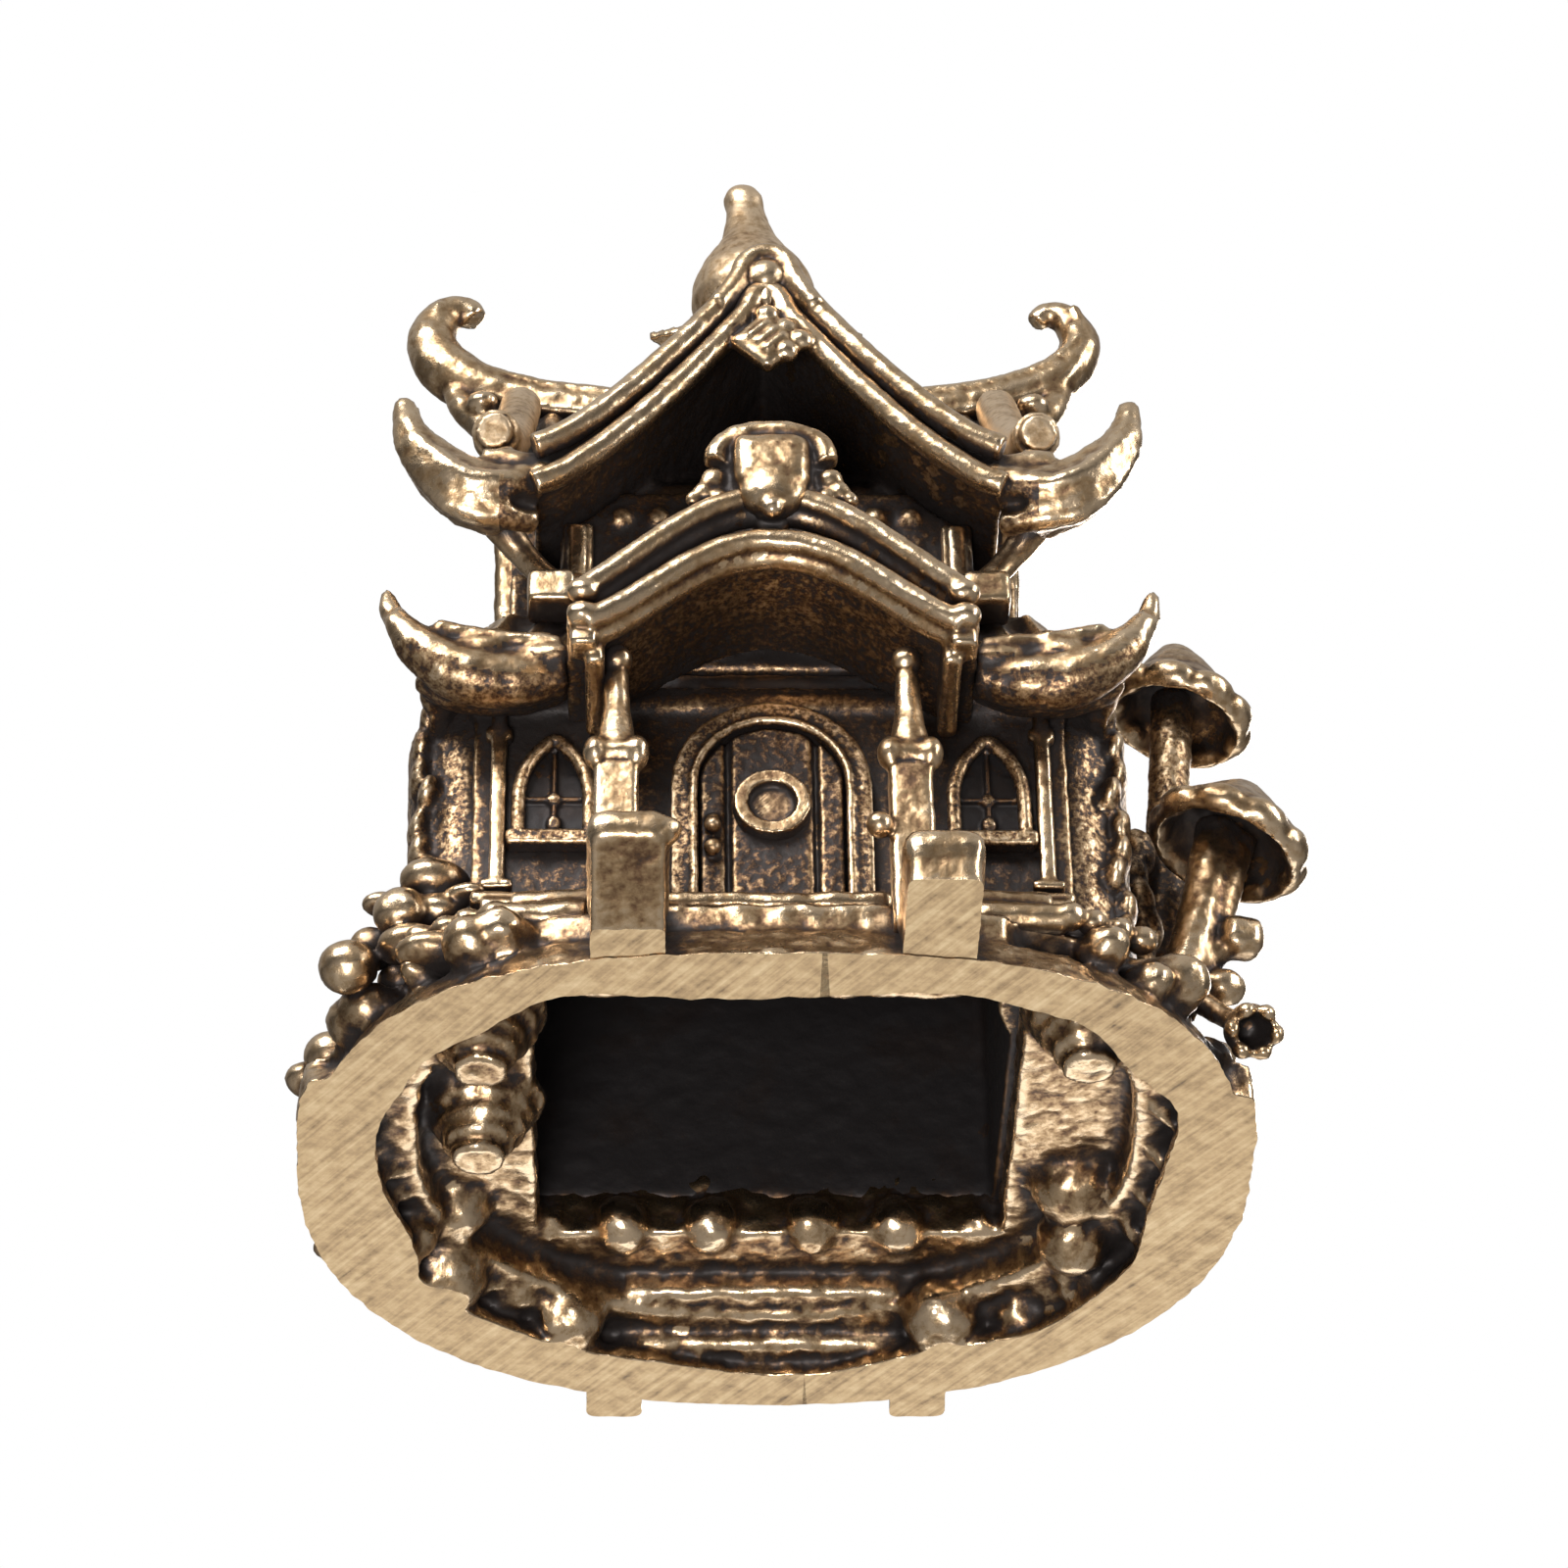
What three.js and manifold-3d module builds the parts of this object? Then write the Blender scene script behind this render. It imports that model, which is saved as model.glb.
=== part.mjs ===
// A hollow cast-brass souvenir miniature: a two-tier garden pavilion on an oval rock base.
// Millimetres, +Z up, -Y is the front with the stair and the porch, +X is the mushroom side.
// The finished group is moved so that its origin is the centre of the box's underside.
import * as THREE from 'three';
import { mergeVertices } from 'three/addons/utils/BufferGeometryUtils.js';
import Module from 'manifold-3d';

const wasm = await Module();
wasm.setup();

// ---- driving dimensions ----
const SEAM = 0.05;              // brazing seam between two castings
const EASE = 0.15;              // room left around a piece that lies on a curved roof
const SKY = 60;                 // cutting solids end at this level, above the whole object,
const AWAY = 30;                // and this far out to its sides

const BASE_HALF_WIDTH = 17.75;  // oval skirt, outside, at the sawn rim
const BASE_HALF_DEPTH = 16.5;
const BASE_X = 0.25;            // the rock base is cast a little off the tower's centre line
const BASE_Y = 1.25;            // the oval and the tower share this line from side to side
const BASE_WALL = 2.4;
const BASE_HEIGHT = 1.5;
const FRONT_POWER = 2.8;        // how square the oval is in front and behind
const BACK_POWER = 2.2;
const OVAL_POINTS = 48;

const LOWER_TERRACE = { inset: 2.0, width: 2.4, height: 1.5 };
const UPPER_TERRACE = { sideInset: 2.4, endInset: 4.15, height: 1.6 };
const STONE_SQUASH = 0.85;      // boulders are this much lower than round

const NEWEL = { offset: 5.45, width: 2.5, reach: 4.0, heights: [3.1, 2.3] };
const REAR_FOOT = { offset: 6.05, width: 2.2, reach: 1.7, height: 1.4 };

const DRESSED_STONE = { gap: 0.6, length: 3.4, height: 1.3 };   // beside the porch columns

const LOWER_HALF_WIDTH = 11.0;  // ground storey, outside of the walls
const LOWER_HALF_DEPTH = 10.25;
const LOWER_WALL = 2.0;
const LOWER_WALL_HEIGHT = 11.2;

const UPPER_HALF_WIDTH = 10.0;  // upper storey, a cross in plan: the arms that carry the main ridge
const UPPER_ARM_DEPTH = 4.6;
const UPPER_BAY_WIDTH = 7.9;    // and the bays that carry the gables, as half sizes
const UPPER_HALF_DEPTH = 9.8;
const UPPER_WALL = 1.6;
const UPPER_WALL_HEIGHT = 8.7;
const CEILING = 1.0;            // plate between the storeys
const CEILING_INSET = [1.0, 0.5];

const DOOR = { halfWidth: 2.75, springing: 5.9, leaf: 0.45, band: 0.95, frame: 1.0 };
const DOOR_RING = { outer: 1.55, inner: 1.05, depth: 0.5, height: 5.6 };
const STUD = { radius: 0.3, offset: 2.15, heights: [3.3, 4.4] };
const WINDOW = {
  offset: 8.0, halfWidth: 1.3, height: 4.4, sillHeight: 3.8, band: 0.4, depth: 0.5, crossbarHeight: 1.98,
};
const LATTICE_BAR = 0.28;
const PILASTER = { offset: 10.2, width: 0.9, depth: 0.5 };
const SILL = { height: 0.7, depth: 0.9, level: 0.75, doorGap: 1.4 };
const SIDE_BAY = { radius: 2.3, y: -4.2, height: 8.6 };

const COLUMN = {
  offset: 5.3, y: -12.0, side: 1.5,
  capWidth: 2.3, capDepth: 1.9, capHeight: 1.3, capLevel: 6.4, neck: [0.5, 0.65],
};

const PILASTER_UPPER = { width: 1.3, depth: 0.6, block: 1.1, blockDepth: 1.2, bracket: 0.45 };
const CORNER_POST = 0.55;

const PORCH_HALF_WIDTH = 7.5;
const PORCH_RISE = 3.4;
const PORCH_DROP = 1.9;         // its eaves hang this far below the top of the ground storey's walls
const PORCH_THICKNESS = 1.1;
const PORCH_REACH = 6.0;        // how far the porch roof stands out from the wall
const PORCH_CURVE = 1.1;        // how soon its sides sweep out
const PORCH_ROLL = 0.48;
const PORCH_CREST = { width: 1.4, height: 1.6 };
const PORCH_BOSS = { radius: 2.4, backRadius: 1.9, depth: 1.9, squash: 0.8, rise: 2.4 };

const LOWER_ROOF = {
  overhang: 2.7, endOverhang: 3.9, rise: 3.6, drop: 4.6, curve: 1.7, thickness: 1.0, lift: 1.0,
};
const UPPER_ROOF = {
  overhang: 0.9, endOverhang: 3.6, eaveBelowWall: 2.4, rise: 13.4, curve: 1.6, thickness: 1.1, lift: 0.6,
};

const GABLE_HALF_WIDTH = 8.9;   // front and rear gables of the upper roof
const GABLE_RISE = 9.6;
const GABLE_THICKNESS = 1.1;
const GABLE_CURVE = 1.35;       // how much its rakes sag
const GABLE_ROLL = 0.5;         // radius of the two rolls along each rake
const ROLL_LIFT = 0.1;          // the upper one's centre stands over the gable's top
const ROLL_GAP = 0.02;          // between them where the rake is steepest, at the apex

const PENDANT = { halfWidth: 1.6, depth: 0.9, drop: 2.5 };

const HIP_LIFT = 0.7;           // the rolls clear the concave roof and the gables' backs
const HIP = 0.8;                // radius of the rolls down the upper roof
const HIP_SPREAD = 0.9;         // they stand this much further apart at the corners than at the ridge
const UPPER_HORN = { inset: 0.9, low: 0.3, reach: 3.9, rise: 4.1, root: 1.45, tip: 0.4 };
const LOWER_HORN = { inset: 0.9, low: 0.5, reach: 2.35, rise: 2.3, root: 0.75, tip: 0.25 };
const RIDGE = { radius: 0.95, reach: 13.7, sag: 1.3, curl: 1.5 };
const FINIAL_LEAN = -0.3;       // the gourd is set a little to the left
const FINIAL = { bulb: 2.7, neck: 0.85, tip: 0.85, height: 8.0 };
const LOTUS = { halfWidth: 4.5, height: 2.4, foot: 1.5, lip: 0.35 };

const MUSHROOMS = [
  { name: 'tall', x: 16.6, y: 1.2, level: 20.9, cap: 2.9, capHeight: 3.2, stem: 0.95, footX: 14.6 },
  { name: 'short', x: 17.7, y: -3.6, level: 10.9, cap: 3.1, capHeight: 4.2, stem: 1.1, footX: 15.6 },
];

// ---- levels that follow from them ----
const LOWER_TERRACE_Z = BASE_HEIGHT;
const UPPER_TERRACE_Z = LOWER_TERRACE_Z + LOWER_TERRACE.height;
const FLOOR = UPPER_TERRACE_Z + UPPER_TERRACE.height;
const LOWER_WALL_TOP = FLOOR + LOWER_WALL_HEIGHT;
const PORCH_EAVE = LOWER_WALL_TOP - PORCH_DROP;
const UPPER_FLOOR = LOWER_WALL_TOP + CEILING;
const UPPER_WALL_TOP = UPPER_FLOOR + UPPER_WALL_HEIGHT;
const FRONT_FACE = -LOWER_HALF_DEPTH;       // in the tower's frame
const UPPER_EAVE = UPPER_WALL_TOP - UPPER_ROOF.eaveBelowWall;

// ---- materials: the casting is one alloy, finished three ways ----
const brass = (name, color, roughness) =>
  new THREE.MeshStandardMaterial({ name, color, roughness, metalness: 1 });
const rubbedBrass = brass('rubbed_brass', 0xc9a468, 0.32);
const darkenedBrass = brass('darkened_brass', 0x5d4526, 0.5);
const sawnBrass = brass('sawn_brass', 0xbc9e66, 0.42);

// ---- solids ----
function solidOf(geometry) {
  const bare = geometry.clone();
  bare.deleteAttribute('normal');
  bare.deleteAttribute('uv');
  const merged = mergeVertices(bare, 1e-4);
  return new wasm.Manifold(new wasm.Mesh({
    numProp: 3,
    vertProperties: new Float32Array(merged.attributes.position.array),
    triVerts: new Uint32Array(merged.index.array),
  }));
}

function geometryOf(solid) {
  const mesh = solid.getMesh();
  const corners = new Float32Array(mesh.numVert * 3);
  for (let i = 0; i < mesh.numVert; i += 1) {
    const from = i * mesh.numProp;
    corners.set(mesh.vertProperties.subarray(from, from + 3), i * 3);
  }
  return new THREE.BufferGeometry()
    .setAttribute('position', new THREE.BufferAttribute(corners, 3))
    .setIndex(new THREE.BufferAttribute(mesh.triVerts, 1));
}

function piece(name, geometry, material, parent) {
  const mesh = new THREE.Mesh(geometry, material);
  mesh.name = name;
  parent.add(mesh);
  return mesh;
}

function box(x0, x1, y0, y1, z0, z1) {
  return new THREE.BoxGeometry(x1 - x0, y1 - y0, z1 - z0)
    .translate((x0 + x1) / 2, (y0 + y1) / 2, (z0 + z1) / 2);
}

function ball(radius, x, y, z, squash = 1) {
  return new THREE.SphereGeometry(radius, 12, 8).scale(1, 1, squash).translate(x, y, z);
}

const joined = (...geometries) => geometryOf(geometries.map(solidOf).reduce((a, b) => a.add(b)));
const cut = (geometry, ...tools) =>
  geometryOf(tools.map(solidOf).reduce((a, b) => a.subtract(b), solidOf(geometry)));

// A shape drawn in X and Z and pushed along Y from y0 to y1.
function upright(shape, y0, y1) {
  return new THREE.ExtrudeGeometry(shape, { depth: y1 - y0, bevelEnabled: false, curveSegments: 8 })
    .rotateX(Math.PI / 2)
    .translate(0, y1, 0);
}

// Turns every triangle of a solid that came out inside out.
function outward(geometry) {
  if (solidOf(geometry).volume() > 0) return geometry;
  const index = geometry.index.array;
  for (let i = 0; i < index.length; i += 3) [index[i], index[i + 1]] = [index[i + 1], index[i]];
  return geometry;
}

// A tapering round bar along a curve: a cylinder whose rings are carried along it.
function bar(points, radiusAt, sides = 8, steps = 12) {
  const curve = new THREE.CatmullRomCurve3(points.map((p) => new THREE.Vector3(...p)));
  const frames = curve.computeFrenetFrames(steps, false);
  const geometry = new THREE.CylinderGeometry(1, 1, 1, sides, steps);
  const position = geometry.attributes.position;
  for (let i = 0; i < position.count; i += 1) {
    const t = 0.5 - position.getY(i);
    const ring = Math.round(t * steps);
    const radius = radiusAt(t);
    const place = curve.getPointAt(ring / steps)
      .addScaledVector(frames.normals[ring], -position.getX(i) * radius)
      .addScaledVector(frames.binormals[ring], position.getZ(i) * radius);
    position.setXYZ(i, place.x, place.y, place.z);
  }
  return outward(geometry);
}

// ---- the oval base ----
function ovalPoint(turn, halfWidth, halfDepth) {
  const angle = turn * Math.PI * 2;
  const c = Math.cos(angle);
  const s = Math.sin(angle);
  const power = 2 / (s < 0 ? FRONT_POWER : BACK_POWER);
  return new THREE.Vector2(
    halfWidth * Math.sign(c) * Math.abs(c) ** power,
    halfDepth * Math.sign(s) * Math.abs(s) ** power,
  );
}

function oval(sideInset, endInset = sideInset) {
  const points = Array.from({ length: OVAL_POINTS }, (_, i) =>
    ovalPoint(i / OVAL_POINTS, BASE_HALF_WIDTH - sideInset, BASE_HALF_DEPTH - endInset));
  return new THREE.Shape(points);
}

function rectangle(halfWidth, halfDepth) {
  return new THREE.Shape([
    new THREE.Vector2(-halfWidth, -halfDepth),
    new THREE.Vector2(halfWidth, -halfDepth),
    new THREE.Vector2(halfWidth, halfDepth),
    new THREE.Vector2(-halfWidth, halfDepth),
  ]);
}

function slab(shape, z0, z1, hole) {
  if (hole) shape.holes.push(hole);
  return new THREE.ExtrudeGeometry(shape, { depth: z1 - z0, bevelEnabled: false }).translate(0, 0, z0);
}

// Where the oval's edge is in front of (side -1) or behind (side 1) a given x.
function ovalEdge(x, side) {
  const power = side < 0 ? FRONT_POWER : BACK_POWER;
  const share = Math.abs(x) / BASE_HALF_WIDTH;
  return side * BASE_HALF_DEPTH * (1 - share ** power) ** (1 / power);
}

function addBase(parent) {
  piece('base_shell', slab(oval(0), 0, BASE_HEIGHT, oval(BASE_WALL)), sawnBrass, parent);
  const { inset, width } = LOWER_TERRACE;
  const ledge = slab(oval(inset), LOWER_TERRACE_Z, UPPER_TERRACE_Z, oval(inset + width));
  piece('lower_terrace', ledge, darkenedBrass, parent);
  const shaft = rectangle(LOWER_HALF_WIDTH - LOWER_WALL, LOWER_HALF_DEPTH - LOWER_WALL);
  piece('upper_terrace', slab(upperOval(0), UPPER_TERRACE_Z, FLOOR, shaft), darkenedBrass, parent);
}

// The upper terrace's outline, and the space it takes up with a little room around it.
const upperOval = (room) => oval(UPPER_TERRACE.sideInset - room, UPPER_TERRACE.endInset - room);
const upperTerraceSpace = () => slab(upperOval(SEAM), 0, FLOOR + SEAM);

// Stair posts in front, and the shorter feet behind, each fitted to the oval's side.
function addStairPosts(parent) {
  const skirt = slab(oval(-SEAM), -1, BASE_HEIGHT + SEAM);
  for (const [i, name] of ['left', 'right'].entries()) {
    const x = (i ? 1 : -1) * NEWEL.offset;
    const edge = ovalEdge(NEWEL.offset, -1);
    const half = NEWEL.width / 2;
    const back = edge + LOWER_TERRACE.inset - EASE;
    const post = box(x - half, x + half, edge - NEWEL.reach, back, 0, NEWEL.heights[i]);
    piece(`newel_${name}`, cut(post, skirt), rubbedBrass, parent);
    const rear = (i ? 1 : -1) * REAR_FOOT.offset;
    const rearEdge = ovalEdge(REAR_FOOT.offset, 1);
    const rearHalf = REAR_FOOT.width / 2;
    const end = rearEdge + REAR_FOOT.reach;
    const foot = box(rear - rearHalf, rear + rearHalf, rearEdge - 1, end, 0, REAR_FOOT.height);
    piece(`rear_foot_${name}`, cut(foot, skirt), rubbedBrass, parent);
  }
}

// Boulders and dressed stones around the terrace: where they stand on the oval, as a share of a turn.
const BOULDERS = [
  { name: 'boulder_left_front', turn: 0.588, radius: 1.35 },
  { name: 'boulder_left', turn: 0.535, radius: 1.1 },
  { name: 'boulder_rear_left', turn: 0.355, radius: 1.15 },
  { name: 'boulder_right_rear', turn: 0.06, radius: 1.1 },
];

function addStones(parent) {
  for (const { name, turn, radius } of BOULDERS) {
    const inset = LOWER_TERRACE.inset / 2 + 0.1;
    const at = ovalPoint(turn, BASE_HALF_WIDTH - inset, BASE_HALF_DEPTH - inset);
    const terrace = slab(oval(LOWER_TERRACE.inset - SEAM), 0, UPPER_TERRACE_Z + SEAM);
    const stone = ball(radius, at.x, at.y, BASE_HEIGHT + radius * STONE_SQUASH + SEAM, STONE_SQUASH);
    piece(name, cut(stone, terrace, upperTerraceSpace()), rubbedBrass, parent);
  }
  const depth = UPPER_TERRACE.endInset - LOWER_TERRACE.inset - 0.5;
  for (const side of [-1, 1]) {
    const name = side < 0 ? 'left' : 'right';
    const near = COLUMN.offset + COLUMN.side / 2 + DRESSED_STONE.gap;
    const far = near + DRESSED_STONE.length;
    const [x0, x1] = side < 0 ? [-far, -near] : [near, far];
    const front = ovalEdge(far, -1) + LOWER_TERRACE.inset + 0.1;
    const top = UPPER_TERRACE_Z + DRESSED_STONE.height;
    const stone = box(x0, x1, front, front + depth, UPPER_TERRACE_Z, top);
    piece(`dressed_stone_${name}`, cut(stone, upperTerraceSpace()), rubbedBrass, parent);
  }
}

// ---- ground storey ----
function wallTube(halfWidth, halfDepth, wall, z0, z1) {
  return slab(rectangle(halfWidth, halfDepth), z0, z1, rectangle(halfWidth - wall, halfDepth - wall));
}

function archShape(halfWidth, springing) {
  const shape = new THREE.Shape();
  shape.moveTo(-halfWidth, 0);
  shape.lineTo(halfWidth, 0);
  shape.lineTo(halfWidth, springing);
  shape.absarc(0, springing, halfWidth, 0, Math.PI, false);
  shape.lineTo(-halfWidth, 0);
  return shape;
}

// A pointed window outline with its foot at z 0.
function pointedShape(halfWidth, height) {
  const shape = new THREE.Shape();
  shape.moveTo(-halfWidth, 0);
  shape.lineTo(halfWidth, 0);
  shape.lineTo(halfWidth, height * 0.5);
  shape.quadraticCurveTo(halfWidth * 0.9, height * 0.85, 0, height);
  shape.quadraticCurveTo(-halfWidth * 0.9, height * 0.85, -halfWidth, height * 0.5);
  shape.lineTo(-halfWidth, 0);
  return shape;
}

function addDoor(name, parent) {
  const face = FRONT_FACE - SEAM;
  const { halfWidth, springing, leaf, band, frame } = DOOR;
  const surround = archShape(halfWidth + band, springing);
  const opening = archShape(halfWidth, springing);
  const outer = upright(surround, face - frame, face).translate(0, 0, FLOOR + SEAM);
  const inner = upright(opening, face - frame - 1, face + 1).translate(0, 0, FLOOR + SEAM);
  const below = box(-halfWidth, halfWidth, face - frame - 1, face + 1, FLOOR - 1, FLOOR + 1);
  piece(`${name}_door_frame`, cut(outer, inner, below), rubbedBrass, parent);
  const leafShape = archShape(halfWidth - SEAM, springing);
  const panel = upright(leafShape, face - leaf, face).translate(0, 0, FLOOR + SEAM);
  const studs = STUD.heights.map((height) => ball(STUD.radius, -STUD.offset, face - leaf, FLOOR + height));
  piece(`${name}_door`, joined(panel, ...studs), darkenedBrass, parent);
  const ring = new THREE.LatheGeometry([
    new THREE.Vector2(DOOR_RING.inner, 0),
    new THREE.Vector2(DOOR_RING.outer, 0),
    new THREE.Vector2(DOOR_RING.outer, DOOR_RING.depth),
    new THREE.Vector2(DOOR_RING.inner, DOOR_RING.depth),
    new THREE.Vector2(DOOR_RING.inner, 0),
  ], 20);
  const seat = face - leaf - SEAM - DOOR_RING.depth;
  piece(`${name}_door_window`, ring.translate(0, seat, FLOOR + DOOR_RING.height), rubbedBrass, parent);
}

function addWindow(name, x, parent) {
  const face = FRONT_FACE - SEAM;
  const { halfWidth, height, sillHeight, band, depth, crossbarHeight } = WINDOW;
  const z = FLOOR + sillHeight;
  const outline = pointedShape(halfWidth, height);
  const glazing = pointedShape(halfWidth - band, height - 2 * band);
  const surround = upright(outline, face - depth, face).translate(x, 0, z);
  const opening = upright(glazing, face - depth - 1, face + 1).translate(x, 0, z + band);
  const low = z + band / 2;
  const half = LATTICE_BAR / 2;
  const mullion = box(x - half, x + half, face - LATTICE_BAR, face, low, z + height - band);
  const middle = z + crossbarHeight;
  const reach = halfWidth - band / 2;
  const crossbar = box(x - reach, x + reach, face - LATTICE_BAR, face, middle - half, middle + half);
  piece(`window_${name}`, joined(cut(surround, opening), mullion, crossbar), rubbedBrass, parent);
}

function addGroundStorey(parent) {
  const walls = wallTube(LOWER_HALF_WIDTH, LOWER_HALF_DEPTH, LOWER_WALL, FLOOR, LOWER_WALL_TOP);
  piece('lower_wall', walls, darkenedBrass, parent);
  const plate = rectangle(LOWER_HALF_WIDTH - CEILING_INSET[0], LOWER_HALF_DEPTH - CEILING_INSET[1]);
  piece('storey_floor', slab(plate, LOWER_WALL_TOP, UPPER_FLOOR), darkenedBrass, parent);
  const facades = { front: new THREE.Group(), rear: new THREE.Group() };
  facades.rear.rotation.z = Math.PI;
  for (const [end, facade] of Object.entries(facades)) {
    parent.add(facade);
    addDoor(end, facade);
  }
  addWindow('left', -WINDOW.offset, facades.front);
  addWindow('right', WINDOW.offset, facades.front);
  const face = FRONT_FACE - SEAM;
  const sillTop = FLOOR + SILL.level + SILL.height;
  for (const side of [-1, 1]) {
    const name = side < 0 ? 'left' : 'right';
    const inner = DOOR.halfWidth + DOOR.band + SILL.doorGap;
    const [x0, x1] = side < 0 ? [-LOWER_HALF_WIDTH, -inner] : [inner, LOWER_HALF_WIDTH];
    const sill = box(x0, x1, face - SILL.depth, face, sillTop - SILL.height, sillTop);
    piece(`sill_${name}`, sill, rubbedBrass, parent);
    const x = side * PILASTER.offset;
    const half = PILASTER.width / 2;
    const head = lowerRoofUnder(face - PILASTER.depth) - EASE;
    const pilaster = box(x - half, x + half, face - PILASTER.depth, face, sillTop + SEAM, head);
    piece(`pilaster_${name}`, pilaster, rubbedBrass, parent);
    const bay = new THREE.Shape();
    bay.absarc(0, 0, SIDE_BAY.radius, -Math.PI / 2, Math.PI / 2, false);
    const wall = slab(bay, FLOOR, FLOOR + SIDE_BAY.height);
    if (side < 0) wall.rotateZ(Math.PI);
    wall.translate(side * (LOWER_HALF_WIDTH + SEAM), SIDE_BAY.y, 0);
    piece(`side_bay_${name}`, wall, darkenedBrass, parent);
  }
}

function addColumns(parent) {
  for (const side of [-1, 1]) {
    const x = side * COLUMN.offset;
    const half = COLUMN.side / 2;
    const cap = UPPER_TERRACE_Z + COLUMN.capLevel;
    const top = porchUnder(COLUMN.offset + half) - EASE;
    const shaft = box(x - half, x + half, COLUMN.y - half, COLUMN.y + half, UPPER_TERRACE_Z, cap + 0.1);
    const [capX, capY] = [COLUMN.capWidth / 2, COLUMN.capDepth / 2];
    const capital = box(x - capX, x + capX, COLUMN.y - capY, COLUMN.y + capY, cap, cap + COLUMN.capHeight);
    const neckFoot = cap + 1;
    const neck = new THREE.CylinderGeometry(...COLUMN.neck, top - neckFoot, 8)
      .rotateX(Math.PI / 2)
      .translate(x, COLUMN.y, (top + neckFoot) / 2);
    const column = cut(joined(shaft, capital, neck), upperTerraceSpace());
    piece(`column_${side < 0 ? 'left' : 'right'}`, column, rubbedBrass, parent);
  }
}

// ---- porch: an ogee vault between the columns and the front wall ----
// Height of the vault's top at x: full in the middle, sweeping out to the eaves.
function porchTop(x) {
  const share = Math.min(1, Math.abs(x) / PORCH_HALF_WIDTH);
  return PORCH_EAVE + PORCH_THICKNESS + PORCH_RISE * (0.5 + 0.5 * Math.cos(Math.PI * share ** PORCH_CURVE));
}

const porchUnder = (x) => porchTop(x) - PORCH_THICKNESS;

// Even steps from -halfWidth to halfWidth.
function across(halfWidth, steps) {
  return Array.from({ length: steps + 1 }, (_, i) => halfWidth * ((2 * i) / steps - 1));
}

function bandShape(topAt, halfWidth, thickness, steps) {
  const xs = across(halfWidth, steps);
  const top = xs.map((x) => new THREE.Vector2(x, topAt(x))).reverse();
  const under = xs.map((x) => new THREE.Vector2(x, topAt(x) - thickness));
  return new THREE.Shape([...under, ...top]);
}

function addPorch(parent) {
  const back = FRONT_FACE - SEAM;
  const front = FRONT_FACE - PORCH_REACH;
  const vault = upright(bandShape(porchTop, PORCH_HALF_WIDTH, PORCH_THICKNESS, 20), front, back);
  piece('porch_roof', vault, darkenedBrass, parent);
  const rollY = front - PORCH_ROLL - SEAM;
  const xs = across(PORCH_HALF_WIDTH, 12);
  const upper = xs.map((x) => [x, rollY, porchTop(x)]);
  const lower = xs.map((x) => [x, rollY, porchUnder(x) - PORCH_ROLL]);
  piece('porch_rake_upper', bar(upper, () => PORCH_ROLL, 6, 16), rubbedBrass, parent);
  piece('porch_rake_lower', bar(lower, () => PORCH_ROLL, 6, 16), rubbedBrass, parent);
  const ridgeLow = porchTop(0) + SEAM;
  const crestHalf = PORCH_CREST.width / 2;
  const crest = box(-crestHalf, crestHalf, front, back, ridgeLow, ridgeLow + PORCH_CREST.height);
  const { radius, backRadius, depth, squash, rise } = PORCH_BOSS;
  const boss = new THREE.CylinderGeometry(radius, backRadius, depth, 12)
    .scale(1, 1, squash)
    .translate(0, front - PORCH_ROLL, ridgeLow + rise);
  piece('porch_ridge', joined(crest, boss), rubbedBrass, parent);
}

// ---- lower roof: a skirt with turned-up corners ----
// A closed ring along a rectangle's sides. Its rings go out over the top and back underneath.
function roofRing(inner, outer, heightAt, thickness, perSide, rings) {
  const ring = new THREE.TorusGeometry(2, 1, 2 * (rings + 1), perSide * 4);
  const position = ring.attributes.position;
  const around = perSide * 4;
  const sections = 2 * (rings + 1);
  for (let j = 0; j <= sections; j += 1) {
    for (let i = 0; i <= around; i += 1) {
      const k = j % sections;
      const under = k > rings;
      const share = (under ? sections - 1 - k : k) / rings;
      const side = Math.floor((i % around) / perSide);
      const along = ((i % around) - side * perSide) / perSide * 2 - 1;
      const a = inner[0] + (outer[0] - inner[0]) * share;
      const b = inner[1] + (outer[1] - inner[1]) * share;
      const [x, y] = [[along * a, -b], [a, along * b], [-along * a, b], [-a, -along * b]][side];
      const z = heightAt(share, along) - (under ? thickness : 0);
      position.setXYZ(j * (around + 1) + i, x, y, z);
    }
  }
  return outward(ring);
}

const LOWER_EAVE = [UPPER_HALF_WIDTH + LOWER_ROOF.overhang, UPPER_HALF_DEPTH + LOWER_ROOF.endOverhang];
const LOWER_ROOF_TOP = LOWER_WALL_TOP + LOWER_ROOF.rise;

function lowerRoofHeight(share, along) {
  const fall = LOWER_ROOF.drop * (1 - (1 - share) ** LOWER_ROOF.curve);
  return LOWER_ROOF_TOP - fall + LOWER_ROOF.lift * share ** 2 * Math.abs(along) ** 3;
}

// The roof's underside this far to the front, measured where it is lowest.
function lowerRoofUnder(y) {
  const inner = UPPER_HALF_DEPTH + SEAM;
  const share = Math.max(0, (Math.abs(y) - inner) / (LOWER_EAVE[1] - inner));
  return lowerRoofHeight(share, 0) - LOWER_ROOF.thickness;
}

function addLowerRoof(parent) {
  const inner = [UPPER_HALF_WIDTH + SEAM, UPPER_HALF_DEPTH + SEAM];
  const ring = roofRing(inner, LOWER_EAVE, lowerRoofHeight, LOWER_ROOF.thickness, 8, 4);
  const gap = PORCH_HALF_WIDTH + EASE;
  const porch = box(-gap, gap, -LOWER_EAVE[1] - 1, FRONT_FACE + EASE, PORCH_EAVE - 2, LOWER_ROOF_TOP + 5);
  const level = lowerRoofHeight(1, 1);
  const horns = CORNERS.map(([, sx, sy]) => horn(LOWER_EAVE, level, sx, sy, LOWER_HORN));
  piece('lower_roof', joined(cut(ring, porch), ...horns), rubbedBrass, parent);
}

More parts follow.
